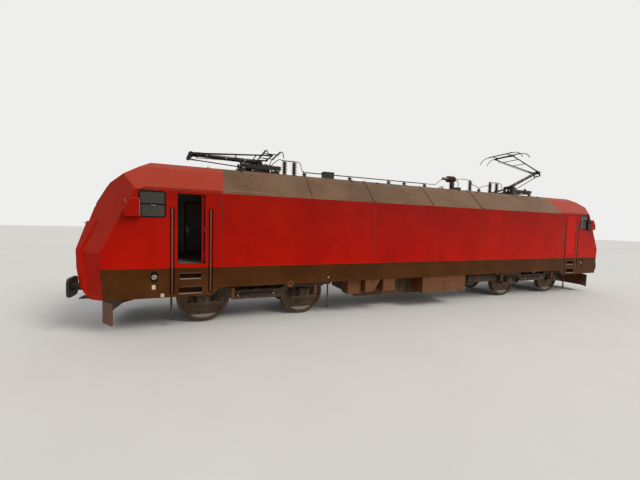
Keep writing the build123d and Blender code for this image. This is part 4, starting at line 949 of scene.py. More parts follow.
def makeHead(end):
    # two carbon strips in sheet carriers, sprung rockers between them, down-bent horns
    head = panPivots(end, "head_tilt")[0]
    shape = newShape()
    top, half, reach = head.z + panLook["rise"], panLook["strip"], panLook["reach"]
    carrier = ((-0.023, 0), (-0.018, 0.016), (0.018, 0.016), (0.023, 0), (0.014, -0.004), (-0.014, -0.004))
    carbon = ((-0.015, 0.016), (-0.013, 0.033), (0.013, 0.033), (0.015, 0.016))
    rocker = ((-0.2, -0.004), (0.2, -0.004), (0.18, -0.022), (0.03, -0.036), (-0.03, -0.036), (-0.18, -0.022))
    horn = ((half - 0.08, 0.006), (half + 0.06, 0.002), (half + 0.18, -0.024), (half + 0.29, -0.09),
            (reach - 0.06, -0.17), (reach - 0.013, 0.012 - panLook["drop"]))
    strips = around(head.x, panLook["gap"] / 2)
    for x in strips:
        addPlate(shape, [(x + a, top + b) for a, b in carrier], -half, half)
        addPlate(shape, [(x + a, top + b) for a, b in carbon], -half + 0.03, half - 0.03, "y", 1)
        for side in (-1, 1):
            addPipe(shape, [(x, side * y, top + z) for y, z in horn], 5, 0.0135, 10)
            addBolt(shape, (x, side * (half - 0.05), top - 0.006), (0, 0, -1), 0.008, 2)
    for side in (-1, 1):
        y = side * panLook["rocker"]
        addBoss(shape, (-0.02, 0.05), 0.0204, 0.034, 0.003, 0.006, (head.x, y, head.z), (0, side, 0), 20)
        addBlock(shape, around(head.x, 0.018), (y, y + side * 0.03), (head.z + 0.028, top - 0.012))
        addPlate(shape, [(head.x + a, top + b) for a, b in rocker], y + side * 0.005, y + side * 0.025)
        for x in strips:
            addBlock(shape, around(x, 0.022), (y + side * 0.002, y + side * 0.028), (top - 0.028, top - 0.002), 2)
        for x in around(head.x, 0.15):
            addDisc(shape, 0.022, 0.012, 0.012, (x, y + side * 0.015, top - 0.028), upward, 10, 2)
    makePanPiece(end, "bow", shape, "head", "panSteel carbonStrip galvanized")


def makeCouplingRod(end):
    rod, eye = panPivots(end, "rod_swing")[0], rodEye(end)
    shape = newShape()
    line, long = (eye - rod).normalized(), (eye - rod).length
    outline = [(0.03, 0.014), (0.05, 0.02), (0.16, 0.02), (0.18, 0.0155), (long - 0.2, 0.0155), (long - 0.18, 0.02),
               (long - 0.06, 0.02), (long - 0.032, 0.014)]
    addLathe(shape, outline, rod, line, 16)
    for spot, hole in ((rod, 0.0125), (eye, 0.02)):
        addBoss(shape, (-0.022, 0.022), hole, 0.036, 0.002, 0.004, spot, crosswise, 22)
    for share in (0.1, 0.88):
        addDisc(shape, 0.02, 0.024, 0.024, rod + line * (long * share), line, 6, 1)
    makePanPiece(end, "couplingRod", shape, "rod")


driveLook = {"deck": 0.16, "springSide": 0.3, "coil": 0.034, "wire": 0.0065, "from": 0.06, "long": 0.26, "turns": 14,
             "steps": 12, "cylinderSide": 0.2, "boltSide": 0.52, "boltsAt": (-0.44, -0.2, 0.18, 0.44),
             "stopSide": 0.31,
             "hose": ((0.47, 0.2, 0.08), (0.56, 0.12, 0.05), (0.5, -0.1, 0.012), (0.3, -0.3, 0.008),
                      (0.24, -0.44, -0.01))}


def makeDrive(end):
    # raising springs, air drive, dropping damper and stops on the base frame
    arm, way = panPivots(end, "raise")[0], kneeWay[end]
    shape = newShape()
    deck = roofTop + driveLook["deck"]
    count, coil, axle = driveLook["turns"] * driveLook["steps"], driveLook["coil"], Vector(crosswise)

    def ahead(*shares):
        # places along the vehicle, measured from the arm's shaft toward the knee
        return tuple(arm.x + way * share for share in shares)

    for side in (-1, 1):
        y = side * driveLook["springSide"]
        start = Vector((arm.x - way * 0.06, y, arm.z - 0.1))
        back = Vector((arm.x - way * 0.46, y, deck + 0.075))
        addRod(shape, start, back, 0.012, 10, 1)
        line = (back - start).normalized()
        normal, spring = line.cross(axle), []
        for step in range(count + 1):
            turn = 2 * math.pi * step / driveLook["steps"]
            middle = start + line * (driveLook["from"] + driveLook["long"] * step / count)
            spring.append(middle + axle * (coil * math.cos(turn)) + normal * (coil * math.sin(turn)))
        addTube(shape, spring, driveLook["wire"], 6)
        for spot in (0.05, 0.33):
            addDisc(shape, 0.012, 0.042, 0.042, start + line * spot, line, 16, 1)
        bracket = [(back.x - 0.04, deck - 0.02), (back.x + 0.04, deck - 0.02), (back.x + 0.02, back.z + 0.03),
                   (back.x - 0.02, back.z + 0.03)]
        addPlate(shape, bracket, y - 0.02, y + 0.02)
        lever = [(start.x - 0.03, start.z - 0.025), (start.x + 0.03, start.z - 0.025), (arm.x + 0.03, arm.z - 0.03),
                 (arm.x - 0.03, arm.z - 0.03)]
        addPlate(shape, lever, y - 0.012, y + 0.012)
        addBlock(shape, around(arm.x, 0.045), around(y, 0.04), (deck - 0.02, deck + 0.05))
        y = side * driveLook["boltSide"]
        for x in ahead(*driveLook["boltsAt"]):
            addBolt(shape, (x, y, roofTop + 0.24), upward, 0.01, 1)
            addBlock(shape, around(x, 0.03), around(y, 0.033), (roofTop + 0.232, roofTop + 0.24), 1)
        y = side * driveLook["stopSide"]
        addBlock(shape, ahead(0.52, 0.58), around(y, 0.03), (deck - 0.01, arm.z - 0.07))
        stop = [(0, 0.03), (0.02, 0.03), (0.028, 0.022)]
        addLathe(shape, stop, (arm.x + way * 0.55, y, arm.z - 0.07), upward, 14, 3)
        addBlock(shape, ahead(0.5, 0.6), (side * 0.26, side * 0.5), (deck - 0.045, deck - 0.01))
    cylinder, y = [(0, 0.05), (0.01, 0.058), (0.3, 0.058), (0.31, 0.05)], driveLook["cylinderSide"]
    addLathe(shape, cylinder, (arm.x + way * 0.16, y, deck + 0.07), (way, 0, 0.06), 22, 2)
    addRod(shape, (arm.x + way * 0.02, y, deck + 0.065), (arm.x + way * 0.18, y, deck + 0.07), 0.016, 12, 1)
    addBlock(shape, ahead(0.2, 0.42), around(y, 0.05), (deck - 0.025, deck + 0.02))
    addBlock(shape, ahead(-0.3, -0.12), around(0, 0.14), (deck - 0.025, deck + 0.03))
    addPipe(shape, [(arm.x + way * x, y, deck + z) for x, y, z in driveLook["hose"]], 6, 0.012, 8, 3)
    makePiece(f"pan_{end}_drive", shape, "panSteel galvanized blackPaint rubberBlack", edge=0.0015)


for end in ends:
    makeLowerArm(end)
    makeUpperArm(end)
    makeHead(end)
    makeCouplingRod(end)
    makeDrive(end)
print("pantographs made")


# cab fronts: lamps, wipers, seals, steps, sockets and blank plates

front = {"snout": 9.382, "side": 0.76, "rise": 1.56, "wide": 0.36, "high": 0.15, "deep": 0.032,
         "bowls": ((-0.085, 0.052, 4), (0.085, 0.052, 5)), "upper": (0.26, 0.11, 0.03),
         "upperBowls": ((-0.06, 0.036, 4), (0.06, 0.036, 4))}
brow = (8.27, 3.76 + railTop)
screenTop, screenFoot = (8.76, 3.4 + railTop), (9.08, 2.8 + railTop)


def slopePlace(first, second, share, side=0.0):
    # a frame on one of the nose's slopes: X across, Y up the slope, Z out of it
    start, end = Vector((first[0], side, first[1])), Vector((second[0], side, second[1]))
    up = (start - end).normalized()
    out = Vector(crosswise).cross(up)
    if out.z < -0.001:
        out = -out
    turn = Matrix((up.cross(out), up, out)).transposed().to_4x4()
    return Matrix.Translation(start * (1 - share) + end * share) @ turn


def addLampUnit(shape, place, wide, high, deep, bowls):
    # a rim, a dark bed, bowls with a bulb each and a flat lens over all
    half, tall, rim = wide / 2, high / 2, 0.012
    for x, y in frameSpans((-half, half), (-tall, tall), rim):
        addBlock(shape, x, y, (-0.004, deep), 0, place)
    addBlock(shape, around(0, half - 0.01), around(0, tall - 0.01), (-0.004, 0.003), 1, place)
    part = newShape()
    for x, radius, finish in bowls:
        bowl = [(0.004, radius * 0.3), (0.005, radius * 0.55), (0.012, radius * 0.8), (deep * 0.8, radius),
                (deep * 0.8, radius * 1.08), (0.0035, radius * 1.08)]
        addLathe(part, bowl, (x, 0, 0), upward, 24, 2)
        addLathe(part, [(0.004, 0.012), (0.014, 0.013), (0.02, 0.008)], (x, 0, 0), upward, 12, finish)
    for x in around(0, half - rim / 2):
        for y in around(0, tall - rim / 2):
            addDisc(part, 0.002, 0.004, 0.004, (x, y, deep), upward, 8)
    merge(shape, part, place)
    addBlock(shape, around(0, half - rim), around(0, tall - rim), (deep * 0.82, deep * 0.95), 3, place)


def makeLamps():
    shape = newShape()
    rise = front["rise"] + railTop
    for side in around(0, front["side"]):
        place = slopePlace((front["snout"], rise + 0.2), (front["snout"], rise - 0.2), 0.5, side)
        addLampUnit(shape, place, front["wide"], front["high"], front["deep"], front["bowls"])
    addLampUnit(shape, slopePlace(brow, screenTop, 0.5), *front["upper"], front["upperBowls"])
    makePiece("headLampUnits", bothEnds(shape), "rubberBlack blackPaint lampSilver lensGlass creamMark mirrorGlass",
              instead="head_lamps", edge=0.0015)


glazing = {"inner": 0.035, "outer": 0.905, "high": 0.56, "rim": 0.03, "proud": 0.04, "crown": 0.05, "corner": 0.09,
           "columns": 20, "rows": 12}


def makeGlazing():
    # each half windscreen stands a little proud in a rubber rim and is crowned both ways
    shape = newShape()
    place = slopePlace(screenTop, screenFoot, 0.5)
    tall, rim, proud, corner = glazing["high"] / 2, glazing["rim"], glazing["proud"], glazing["corner"]
    middle, wide = (glazing["inner"] + glazing["outer"]) / 2, (glazing["outer"] - glazing["inner"]) / 2
    columns, rows = glazing["columns"], glazing["rows"]
    points, faces = [], []
    for up in range(rows + 1):
        for over in range(columns + 1):
            a, b = over / columns * 2 - 1, up / rows * 2 - 1
            lift = proud - 0.008 + glazing["crown"] * (1 - a ** 4) * (1 - b ** 4)
            points.append((middle + a * (wide - rim * 0.7), b * (tall - rim * 0.7), lift))
            if up < rows and over < columns:
                first = up * (columns + 1) + over
                faces.append((first, first + 1, first + columns + 2, first + columns + 1))
    addFaces(shape, points, faces, 0, place)
    outer, inner = [], []
    for x, y, start in ((1, 1, 0), (-1, 1, 90), (-1, -1, 180), (1, -1, 270)):
        for step in range(7):
            turn = math.radians(start + step * 15)
            for ring, bend in ((outer, corner), (inner, corner - rim)):
                ring.append((middle + x * (wide - corner) + bend * math.cos(turn),
                             y * (tall - corner) + bend * math.sin(turn)))
    ridge = [(a * 0.35 + c * 0.65, b * 0.35 + d * 0.65) for (a, b), (c, d) in zip(inner, outer)]
    rings = ((outer, 0.001), (outer, proud - 0.01), (ridge, proud), (inner, proud - 0.004), (inner, 0.001))
    points = [(x, y, lift) for ring, lift in rings for x, y in ring]
    addFaces(shape, points, skinFaces(len(rings), len(outer))[:-2], 1, place)
    makePiece("windscreenGlazing", bothEnds(bothSides(shape)), "paneGlass rubberBlack",
              instead="windscreens", angle=50)


wiperLook = {"pivot": (0.2, -0.055, 0.03), "knee": (0.03, 0.02, 0.05), "tip": (0.56, 0.33, 0.112), "apart": 0.008,
             "bladeLow": (-0.06, -0.22, -0.018), "bladeHigh": (0.06, 0.1, -0.018), "bow": (0, 0, 0.005),
             "screwSide": 0.9 * 1.045, "screwsAt": (0.06, 0.3, 0.55)}


def makeWipers():
    # a double arm and a bowed blade in front of each half, and the screws beside the windscreens
    shape = newShape()
    place = slopePlace(screenTop, screenFoot, 1.0)
    out = place.to_3x3() @ Vector(upward)
    for side in (-1, 1):
        pivot, knee, tip, low, high = [Vector((side * wiperLook[key][0], *wiperLook[key][1:])) for key in
                                       ("pivot", "knee", "tip", "bladeLow", "bladeHigh")]
        addLathe(shape, [(-0.03, 0.022), (0, 0.026), (0.012, 0.02), (0.016, 0.01)], place @ pivot, out, 16)
        for shift in around(0, wiperLook["apart"]):
            step = Vector((shift, 0, 0))
            arm = (pivot + step, pivot + step + knee, tip + step)
            addTube(shape, [place @ point for point in arm], 0.005)
        blade = (tip + low, tip + (low + high) / 2 + Vector(wiperLook["bow"]), tip + high)
        addTube(shape, [place @ point for point in blade], 0.006, 8, 1)
        addBlock(shape, around(tip.x, 0.012), around(tip.y, 0.02), (tip.z - 0.018, tip.z + 0.006), 0, place)
    for x in around(0, wiperLook["screwSide"]):
        for rise in wiperLook["screwsAt"]:
            addDisc(shape, 0.003, 0.007, 0.006, place @ Vector((x, rise, 0.001)), out, 10, 2)
    makePiece("windscreenWipers", bothEnds(shape), "blackPaint rubberBlack galvanized", edge=0.001)


cabSide = {"door": (6.773, 7.372), "doorFoot": 1.578 + railTop, "doorHead": 3.194 + railTop,
           "steps": ((6.864, 7.323, 1.217, 1.362), (6.844, 7.339, 0.875, 1.042)),
           "rails": (6.655, 7.48), "railLow": 0.9, "railHigh": 2.845, "railOut": 1.455,
           "window": ((7.6, 8.146), (2.624 + railTop, 3.228 + railTop)), "socket": (7.845, 1.298 + railTop)}


def addSteps(shape, face):
    # grated treads in the side's recesses, each with a folded nosing and a lip over it
    for low, high, foot, head in cabSide["steps"]:
        foot, head = foot + railTop, head + railTop
        for bar in range(7):
            y = face - 0.02 - bar * 0.03
            addBlock(shape, (low + 0.004, high - 0.004), (y - 0.006, y), (foot, foot + 0.016))
        for bar in range(6):
            x = low + 0.03 + bar * (high - low - 0.06) / 5
            addBlock(shape, around(x, 0.003), (face - 0.2, face - 0.02), (foot, foot + 0.012))
        nosing = [(face - 0.018, foot), (face - 0.002, foot), (face - 0.002, foot + 0.018),
                  (face - 0.014, foot + 0.02), (face - 0.018, foot + 0.018)]
        addPlate(shape, nosing, low + 0.002, high - 0.002, "x", 1)
        addBlock(shape, (low, high), (face - 0.006, face + 0.0015), (head - 0.004, head), 1)


def addDoorway(shape, face):
    # rubber seam round the leaf, a ribbed sill plate and three hinge pins
    (low, high), foot, head = cabSide["door"], cabSide["doorFoot"], cabSide["doorHead"]
    for x, z in (((low - 0.002, low + 0.014), (foot, head)), ((high - 0.014, high + 0.002), (foot, head)),
                 ((low, high), (head - 0.014, head + 0.002)), ((low, high), (foot - 0.002, foot + 0.01))):
        addBlock(shape, x, (face - 0.0034, face - 0.0006), z, 2)
    addBlock(shape, (low + 0.005, high - 0.005), (face - 0.04, face - 0.004), (foot - 0.003, foot + 0.004), 1)
    for rib in range(6):
        y = face - 0.034 + rib * 0.005
        addBlock(shape, (low + 0.02, high - 0.02), (y, y + 0.002), (foot + 0.004, foot + 0.0065), 1)
    for z in (foot + 0.2, (foot + head) / 2, head - 0.2):
        addRod(shape, (low + 0.016, 1.404, z - 0.045), (low + 0.016, 1.404, z + 0.045), 0.0085, 12, 1, 0.002)


def addSocket(shape, face):
    # a round socket with five pins on a black plate
    x, z = cabSide["socket"]
    radius = 0.052
    addBlock(shape, around(x, 0.07), (face - 0.03, face - 0.028), around(z, 0.122), 2)
    start = Vector((x, face - 0.029, z - 0.015))
    outline = [(0, radius * 1.1), (0.006, radius * 1.12), (0.008, radius * 0.95), (0.02, radius * 0.9),
               (0.024, radius * 0.7), (0.018, radius * 0.55), (0.008, radius * 0.5)]
    addLathe(shape, outline, start, crosswise, 24, 1)
    for a, b in circle(5):
        pin = start + Vector((a * radius * 0.28, 0.006, b * radius * 0.28))
        addDisc(shape, 0.014, 0.004, 0.004, pin, crosswise, 8, 1)


def makeCabSides():
    # one corner's worth of fittings, then copied to the other sides and ends
    shape = newShape()
    face = halfWidth
    addSteps(shape, face)
    stud = [(0, 0.02), (0.004, 0.022), (0.018, 0.016), (0.035, 0.012)]
    collar = [(-0.02, 0.0162), (-0.016, 0.0195), (0.016, 0.0195), (0.02, 0.0162)]
    low, high = cabSide["railLow"] + railTop, cabSide["railHigh"] + railTop
    for x in cabSide["rails"]:
        for z in (low + 0.14, (low + high) / 2, high - 0.14):
            addLathe(shape, stud, (x, face - 0.06, z), crosswise, 16)
            addLathe(shape, collar, (x, cabSide["railOut"], z), upward, 16, 0, True)
    addDoorway(shape, face)
    addSocket(shape, face)
    for x in (6.6, 7.0, 7.4, 7.8):
        addDisc(shape, 0.0025, 0.006, 0.005, (x, face + 0.0215, 3.3 + railTop), crosswise, 8, 1)
    (low, high), (foot, head) = cabSide["window"]
    middle = (foot + head) / 2
    addBlock(shape, (low + 0.02, high - 0.02), (face - 0.026, face - 0.004), around(middle, 0.012), 2)
    addBlock(shape, (low + 0.2, low + 0.3), around(face, 0.004), (middle - 0.03, middle - 0.014), 1)
    for edge in (low + 0.012, high - 0.03):
        addBlock(shape, (edge, edge + 0.012), (face - 0.03, face - 0.006), (foot + 0.02, middle), 2)
    makePiece("cabSideFittings", bothEnds(bothSides(shape)), "steelRail galvanized rubberBlack",
              edge=0.001)


mirrorLook = {"glass": ((8.096, 8.101), (1.506, 1.592), (2.665 + railTop, 3.015 + railTop)), "hinge": (8.385, 1.489),
              "hingesAt": (2.7, 2.84, 2.98), "hingeHigh": 0.06}


def makeMirrors():
    # glass and hinges on the mirror housings, behind the moulded lip
    shape = newShape()
    addBlock(shape, *mirrorLook["glass"])
    for z in mirrorLook["hingesAt"]:
        low, high = [(*mirrorLook["hinge"], end) for end in around(z + railTop, mirrorLook["hingeHigh"] / 2)]
        addRod(shape, low, high, 0.009, 12, 1, 0.002)
    makePiece("mirrorGlasses", bothEnds(bothSides(shape)), "mirrorGlass galvanized", edge=0.001)


wallMarks = {"discs": ((-4.676, 0.985, 0.085, 0), (4.918, 1.02, 0.085, 0), (-3.592, 1.118, 0.022, 2)),
             "joints": (-6.4, -2.15, 2.15, 6.4), "pipes": (-6.13, -3.94, 3.3, 6.12), "bead": 6.39,
             "plates": ((-7.852, 1.064, 0.05), (-7.678, 0.87, 0.04))}


def makeWallTrim():
    # covers, seams, the bead over the umber band, drain pipes, and two blank plates on the near side
    shape = newShape()
    face = halfWidth
    bead = ((-0.004, -0.012), (0.0035, -0.008), (0.005, 0), (0.0035, 0.008), (-0.004, 0.012))
    drain = [(0, 0.05), (0.06, 0.05), (0.066, 0.042), (0.2, 0.042), (0.204, 0.047), (0.24, 0.047), (0.246, 0.03),
             (0.262, 0.03)]
    for side in (-1, 1):
        for x, z, radius, finish in wallMarks["discs"]:
            cover = [(0, radius), (0.006, radius), (0.009, radius * 0.9), (0.009, radius * 0.55),
                     (0.003, radius * 0.45)]
            addLathe(shape, cover, (x, side * (face - 0.003), z + railTop), (0, side, 0), 28, finish)
        for x in wallMarks["joints"]:
            y = side * (face + 0.0004)
            addBlock(shape, around(x, 0.006), (y - side * 0.006, y), (0.86 + railTop, shoulder - 0.01), 3)
        edge = [(side * (face + out), bandTop + rise) for out, rise in bead]
        addPlate(shape, edge, -wallMarks["bead"], wallMarks["bead"], "x", 1)
        for x in wallMarks["pipes"]:
            addLathe(shape, drain, (x, side * 1.37, 0.93 + railTop), (0, 0, -1), 20)
            addBlock(shape, around(x, 0.03), around(side * 1.37, 0.03), around(0.93 + railTop, 0.03), 3)
    for x, z, high in wallMarks["plates"]:
        addBlock(shape, around(x, 0.036), (-face - 0.003, -face), around(z + railTop, high), 2)
        for rise in around(z + railTop, high - 0.008):
            addDisc(shape, 0.002, 0.004, 0.003, (x, -face - 0.002, rise), (0, -1, 0), 8, 4)
    makePiece("wallTrim", shape, "boxPaint bodyPaint creamMark blackPaint galvanized", edge=0.0008)


bufferLook = {"at": (8.93, 0.875, 1.05 + railTop), "boltSide": 0.13, "ribs": 8, "ribFoot": 0.108,
              "ring": [(0, 0.1075), (0.002, 0.1125), (0.014, 0.1125), (0.016, 0.1075)], "ringsAt": (0.21, 0.26),
              "collar": [(0, 0.1075), (0.004, 0.12), (0.03, 0.12), (0.034, 0.1075)], "collarAt": 0.295}


def makeBuffers():
    # bolts of the foot plate, rings and a collar on the sleeve, ribs at its foot
    shape = newShape()
    place = Vector(bufferLook["at"])
    for y in around(0, bufferLook["boltSide"]):
        for z in around(0, bufferLook["boltSide"]):
            addBolt(shape, place + Vector((0.024, y, z)), lengthwise, 0.016)
    for x in (*bufferLook["ringsAt"], bufferLook["collarAt"]):
        outline = bufferLook["collar" if x == bufferLook["collarAt"] else "ring"]
        addLathe(shape, outline, place + Vector((x, 0, 0)), lengthwise, 32, 1, True)
    for index, (a, b) in enumerate(circle(bufferLook["ribs"])):
        start = place + Vector((0, a, b)) * bufferLook["ribFoot"]
        spin = Matrix.Translation(start) @ Matrix.Rotation(2 * math.pi * (index / bufferLook["ribs"] - 0.25), 4, "X")
        addPlate(shape, [(0.02, -0.004), (0.12, -0.004), (0.02, 0.0)], -0.004, 0.004, "y", 1, spin)
    makePiece("bufferFittings", bothEnds(bothSides(shape)), "galvanized blackPaint", edge=0.001)


brakePipes = {"rise": 0.9 + railTop, "pair": ((0.34, 1), (0.52, 0)), "radius": 0.022}  # each with its cock's finish


def makeBrakePipes():
    shape = newShape()
    rise = brakePipes["rise"]
    for y, finish in brakePipes["pair"]:
        run = [(8.86, y, rise), (8.95, y, rise), (9.02, y, rise - 0.03), (9.05, y, rise - 0.1)]
        addPipe(shape, run, 5, brakePipes["radius"], 12)
        addLathe(shape, [(0, 0.034), (0.006, 0.036), (0.05, 0.036), (0.056, 0.028)], (8.93, y, rise), lengthwise, 16)
        addRod(shape, (8.96, y, rise), (8.96, y + 0.01, rise + 0.09), 0.008, 10, finish)
        addLathe(shape, [(0, 0.03), (0.02, 0.032), (0.03, 0.024)], run[-1], (0.2, 0, -1), 16, finish)
        addBlock(shape, (8.925, 8.945), around(y, 0.045), around(rise, 0.04))
    makePiece("brakePipeCocks", bothEnds(bothSides(shape)), "blackPaint bodyPaint", edge=0.001)


makeLamps()
makeGlazing()
makeWipers()
makeCabSides()
makeMirrors()
makeWallTrim()
makeBuffers()
makeBrakePipes()
print("cab and wall fittings made")


# cab doors: seal, lining, lock case and handles

doorLook = {"thick": 0.05, "seal": 0.016, "handles": (0.36, 0.72), "handleWide": 0.13, "lining": (0.42, 0.9, 1.3),
            "open": math.radians(-90)}  # the left cab's near door stands open in the photograph


def makeDoor(end, side):
    # drawn shut at the far side of the right end, then moved onto the node's own place
    name = f"door_{end}_{side}"
    (low, high), foot, head = cabSide["door"], cabSide["doorFoot"], cabSide["doorHead"]
    out, back = halfWidth - 0.002, halfWidth - doorLook["thick"] - 0.002
    shape = newShape()
    for x, z in frameSpans((low + 0.04, high - 0.014), (foot + 0.012, head - 0.012), doorLook["seal"]):
        addBlock(shape, x, (back - 0.006, back + 0.002), z)
    addBlock(shape, (low + 0.05, high - 0.05), (back - 0.004, back + 0.001), (foot + 0.05, head - 0.05), 1)
    for rise in doorLook["lining"]:
        addBlock(shape, (low + 0.07, high - 0.07), (back - 0.008, back - 0.003), around(foot + rise, 0.012), 1)
    lock, grip = high - 0.09, foot + 0.74
    addBlock(shape, around(lock, 0.05), (back - 0.022, back - 0.003), (foot + 0.62, foot + 0.84), 2)
    run = [(lock, back - 0.022, grip), (lock, back - 0.05, grip), (lock - 0.03, back - 0.056, grip),
           (lock - 0.12, back - 0.056, grip - 0.005)]
    addPipe(shape, run, 5, 0.0085, 10, 2)
    left, right = around(high - 0.17, doorLook["handleWide"] / 2)
    for rise in doorLook["handles"]:
        z = foot + rise
        for x in (left, right):
            addLathe(shape, [(0, 0.02), (0.003, 0.02), (0.004, 0.016)], (x, out - 0.001, z), crosswise, 16, 3)
        run = [(left, out, z), (left, out + 0.009, z), (left + 0.02, out + 0.012, z), (right - 0.02, out + 0.012, z),
               (right, out + 0.009, z), (right, out, z)]
        addPipe(shape, run, 4, 0.006, 10, 3)
    for z in (foot + 0.2, (foot + head) / 2, head - 0.2):
        for step in (0.065, 0.1):
            addDisc(shape, 0.003, 0.009, 0.007, (low + step, back - 0.001, z), (0, -1, 0), 10, 2)
    if side == "near":
        shape = flipped(shape, "y")
    if end == "left":
        shape = flipped(shape, "x")
    if (end, side) == ("left", "near"):
        hinge = pivots["door_left_near_swing"]
        turn = Matrix.Translation(hinge) @ Matrix.Rotation(doorLook["open"], 4, "Z") @ Matrix.Translation(-hinge)
        shape["points"] = [tuple(turn @ Vector(point)) for point in shape["points"]]
    makePiece(f"{name}_fittings", shape, "rubberBlack cabGrey galvanized steelRail", name, edge=0.001)


for end in ends:
    for flank in flanks:
        makeDoor(end, flank)
print("cab doors made")


# under the floor: boxes with lids, tank ribs, reservoir straps

boxLook = {"face": 1.45, "boxes": ((-0.32, 0.56), (0.56, 1.49)), "span": (0.47 + railTop, 0.99 + railTop),
           "latches": 2, "tankSide": 0.93, "ribs": [-2.3 + 0.25 * rib for rib in range(7)] + [-0.51],
           "reservoir": (1.08, 0.8 + railTop),
           "seams": (1.98, 2.56, 3.14), "straps": (2.13, 2.99)}


def addLid(shape, x, z, face, side):
    # a pressed lid with a raised middle, a hinge strip at the top and latches at the foot
    low, high = x[0] + 0.02, x[1] - 0.02
    foot, head = z[0] + 0.03, z[1] - 0.03
    middle = (foot + head) / 2

    def proud(depth):
        return side * face, side * (face + depth)

    addBlock(shape, (low, high), proud(0.0035), (foot, head))
    for span in ((foot + 0.05, middle - 0.02), (middle + 0.02, head - 0.05)):
        addBlock(shape, (low + 0.06, high - 0.06), proud(0.0046), span)
    y = side * (face + 0.0005)
    for spot in (low + 0.12, high - 0.12):
        addRod(shape, (spot - 0.045, y, head + 0.006), (spot + 0.045, y, head + 0.006), 0.0045, 10, 1)
        addBlock(shape, around(spot, 0.03), proud(0.0045), (head - 0.035, head), 1)
    for index in range(boxLook["latches"]):
        spot = low + (high - low) * (index + 0.5) / boxLook["latches"]
        addBlock(shape, around(spot, 0.02), proud(0.0048), (foot + 0.01, foot + 0.06), 1)
        addDisc(shape, 0.0045, 0.011, 0.009, (spot, side * face, foot + 0.045), (0, side, 0), 12, 1)
    for spot in (low + 0.02, high - 0.02):
        for rise in (foot + 0.02, head - 0.02):
            addDisc(shape, 0.0046, 0.007, 0.006, (spot, side * face, rise), (0, side, 0), 8, 1)


def makeBoxes():
    shape = newShape()
    cock = [(-0.015, 0.02), (0.01, 0.022), (0.02, 0.014), (0.05, 0.014), (0.055, 0.02), (0.075, 0.02)]
    pipe = ((1.08, 0.96), (1.08, 1.05), (1.02, 1.14), (0.9, 1.2), (0.86, 1.38))
    middle, rise = boxLook["reservoir"]
    for side in (-1, 1):
        for x in boxLook["boxes"]:
            addLid(shape, x, boxLook["span"], boxLook["face"], side)
        face = side * boxLook["tankSide"]
        for x in boxLook["ribs"]:
            addBlock(shape, around(x, 0.008), (face, face + side * 0.024), (0.42 + railTop, 1.36 + railTop), 2)
        for z in (0.44 + railTop, 0.62 + railTop):
            addBlock(shape, (-2.4, -0.36), (face, face + side * 0.012), (z, z + 0.02), 2)
        for spots, wide in ((boxLook["seams"], 0.004), (boxLook["straps"], 0.02)):
            for x in spots:
                addBand(shape, wide, 0.1655, 0.17, (x, side * middle, rise), lengthwise, 36, 3)
        for x in boxLook["straps"]:
            addBolt(shape, (x, side * 1.255, rise + 0.02), upward, 0.008, 1)
            addBlock(shape, around(x, 0.018), around(side * 1.255, 0.015), (rise - 0.01, rise + 0.02), 3)
        addLathe(shape, cock, (3.315, side * middle, rise - 0.07), lengthwise, 14, 1)
        addPipe(shape, [(2.56, side * y, z + railTop) for y, z in pipe], 5, 0.014, 10, 3)
    makePiece("underfloorFittings", shape, "boxPaint gearSteel frameSteel blackPaint", edge=0.001)


makeBoxes()
print("under-floor fittings made")


# bogies: coil springs, dampers, axle-box covers, cables, sand pipe ends

bogieLook = {"pivot": {"left": -5.475, "right": 5.475}, "axle": 1.325, "spring": 0.275, "primary": 0.069,
             "secondary": 0.115, "pitch": 0.33, "axleRise": 0.625 + railTop, "primaryAt": (1.005, 0.5883),
             "primaryHigh": 0.2495, "secondaryAt": (1.0, 0.8383)}


def addSeat(shape, radius, thick, start, sides):
    # a round spring seat with broken edges
    edge = 0.003
    outline = [(0, radius - edge), (edge, radius), (thick - edge, radius), (thick, radius - edge)]
    addLathe(shape, outline, start, upward, sides, 1)


def makeSprings(end):
    middle = bogieLook["pivot"][end]
    shape = newShape()
    high = bogieLook["primaryHigh"]
    for side in (-1, 1):
        y, z = bogieLook["primaryAt"]
        for axle in around(middle, bogieLook["axle"]):
            for x in around(axle, bogieLook["spring"]):
                foot = Vector((x, side * y, z))
                addCoil(shape, foot, high, bogieLook["primary"] - 0.013, 0.013, 4.5)
                addDisc(shape, high, 0.034, 0.034, foot, upward, 14, 1)
                for rise in (0.0, high - 0.012):
                    addSeat(shape, bogieLook["primary"], 0.012, foot + Vector((0, 0, rise)), 24)
        y, z = bogieLook["secondaryAt"]
        for x in (middle - bogieLook["pitch"], middle, middle + bogieLook["pitch"]):
            foot = Vector((x, side * y, z))
            addCoil(shape, foot + Vector((0, 0, 0.02)), 0.54, bogieLook["secondary"] - 0.021, 0.02, 6.5, 0, 10)
            addCoil(shape, foot + Vector((0, 0, 0.03)), 0.52, 0.055, 0.01, 9, 0, 6)
            for rise, thick in ((0.0, 0.024), (0.556, 0.0231)):
                addSeat(shape, bogieLook["secondary"], thick, foot + Vector((0, 0, rise)), 28)
    makePiece(f"coilSprings_{end}", shape, "blackPaint gearSteel", f"bogie_{end}",
              f"bogie_{end}_springs", angle=40)


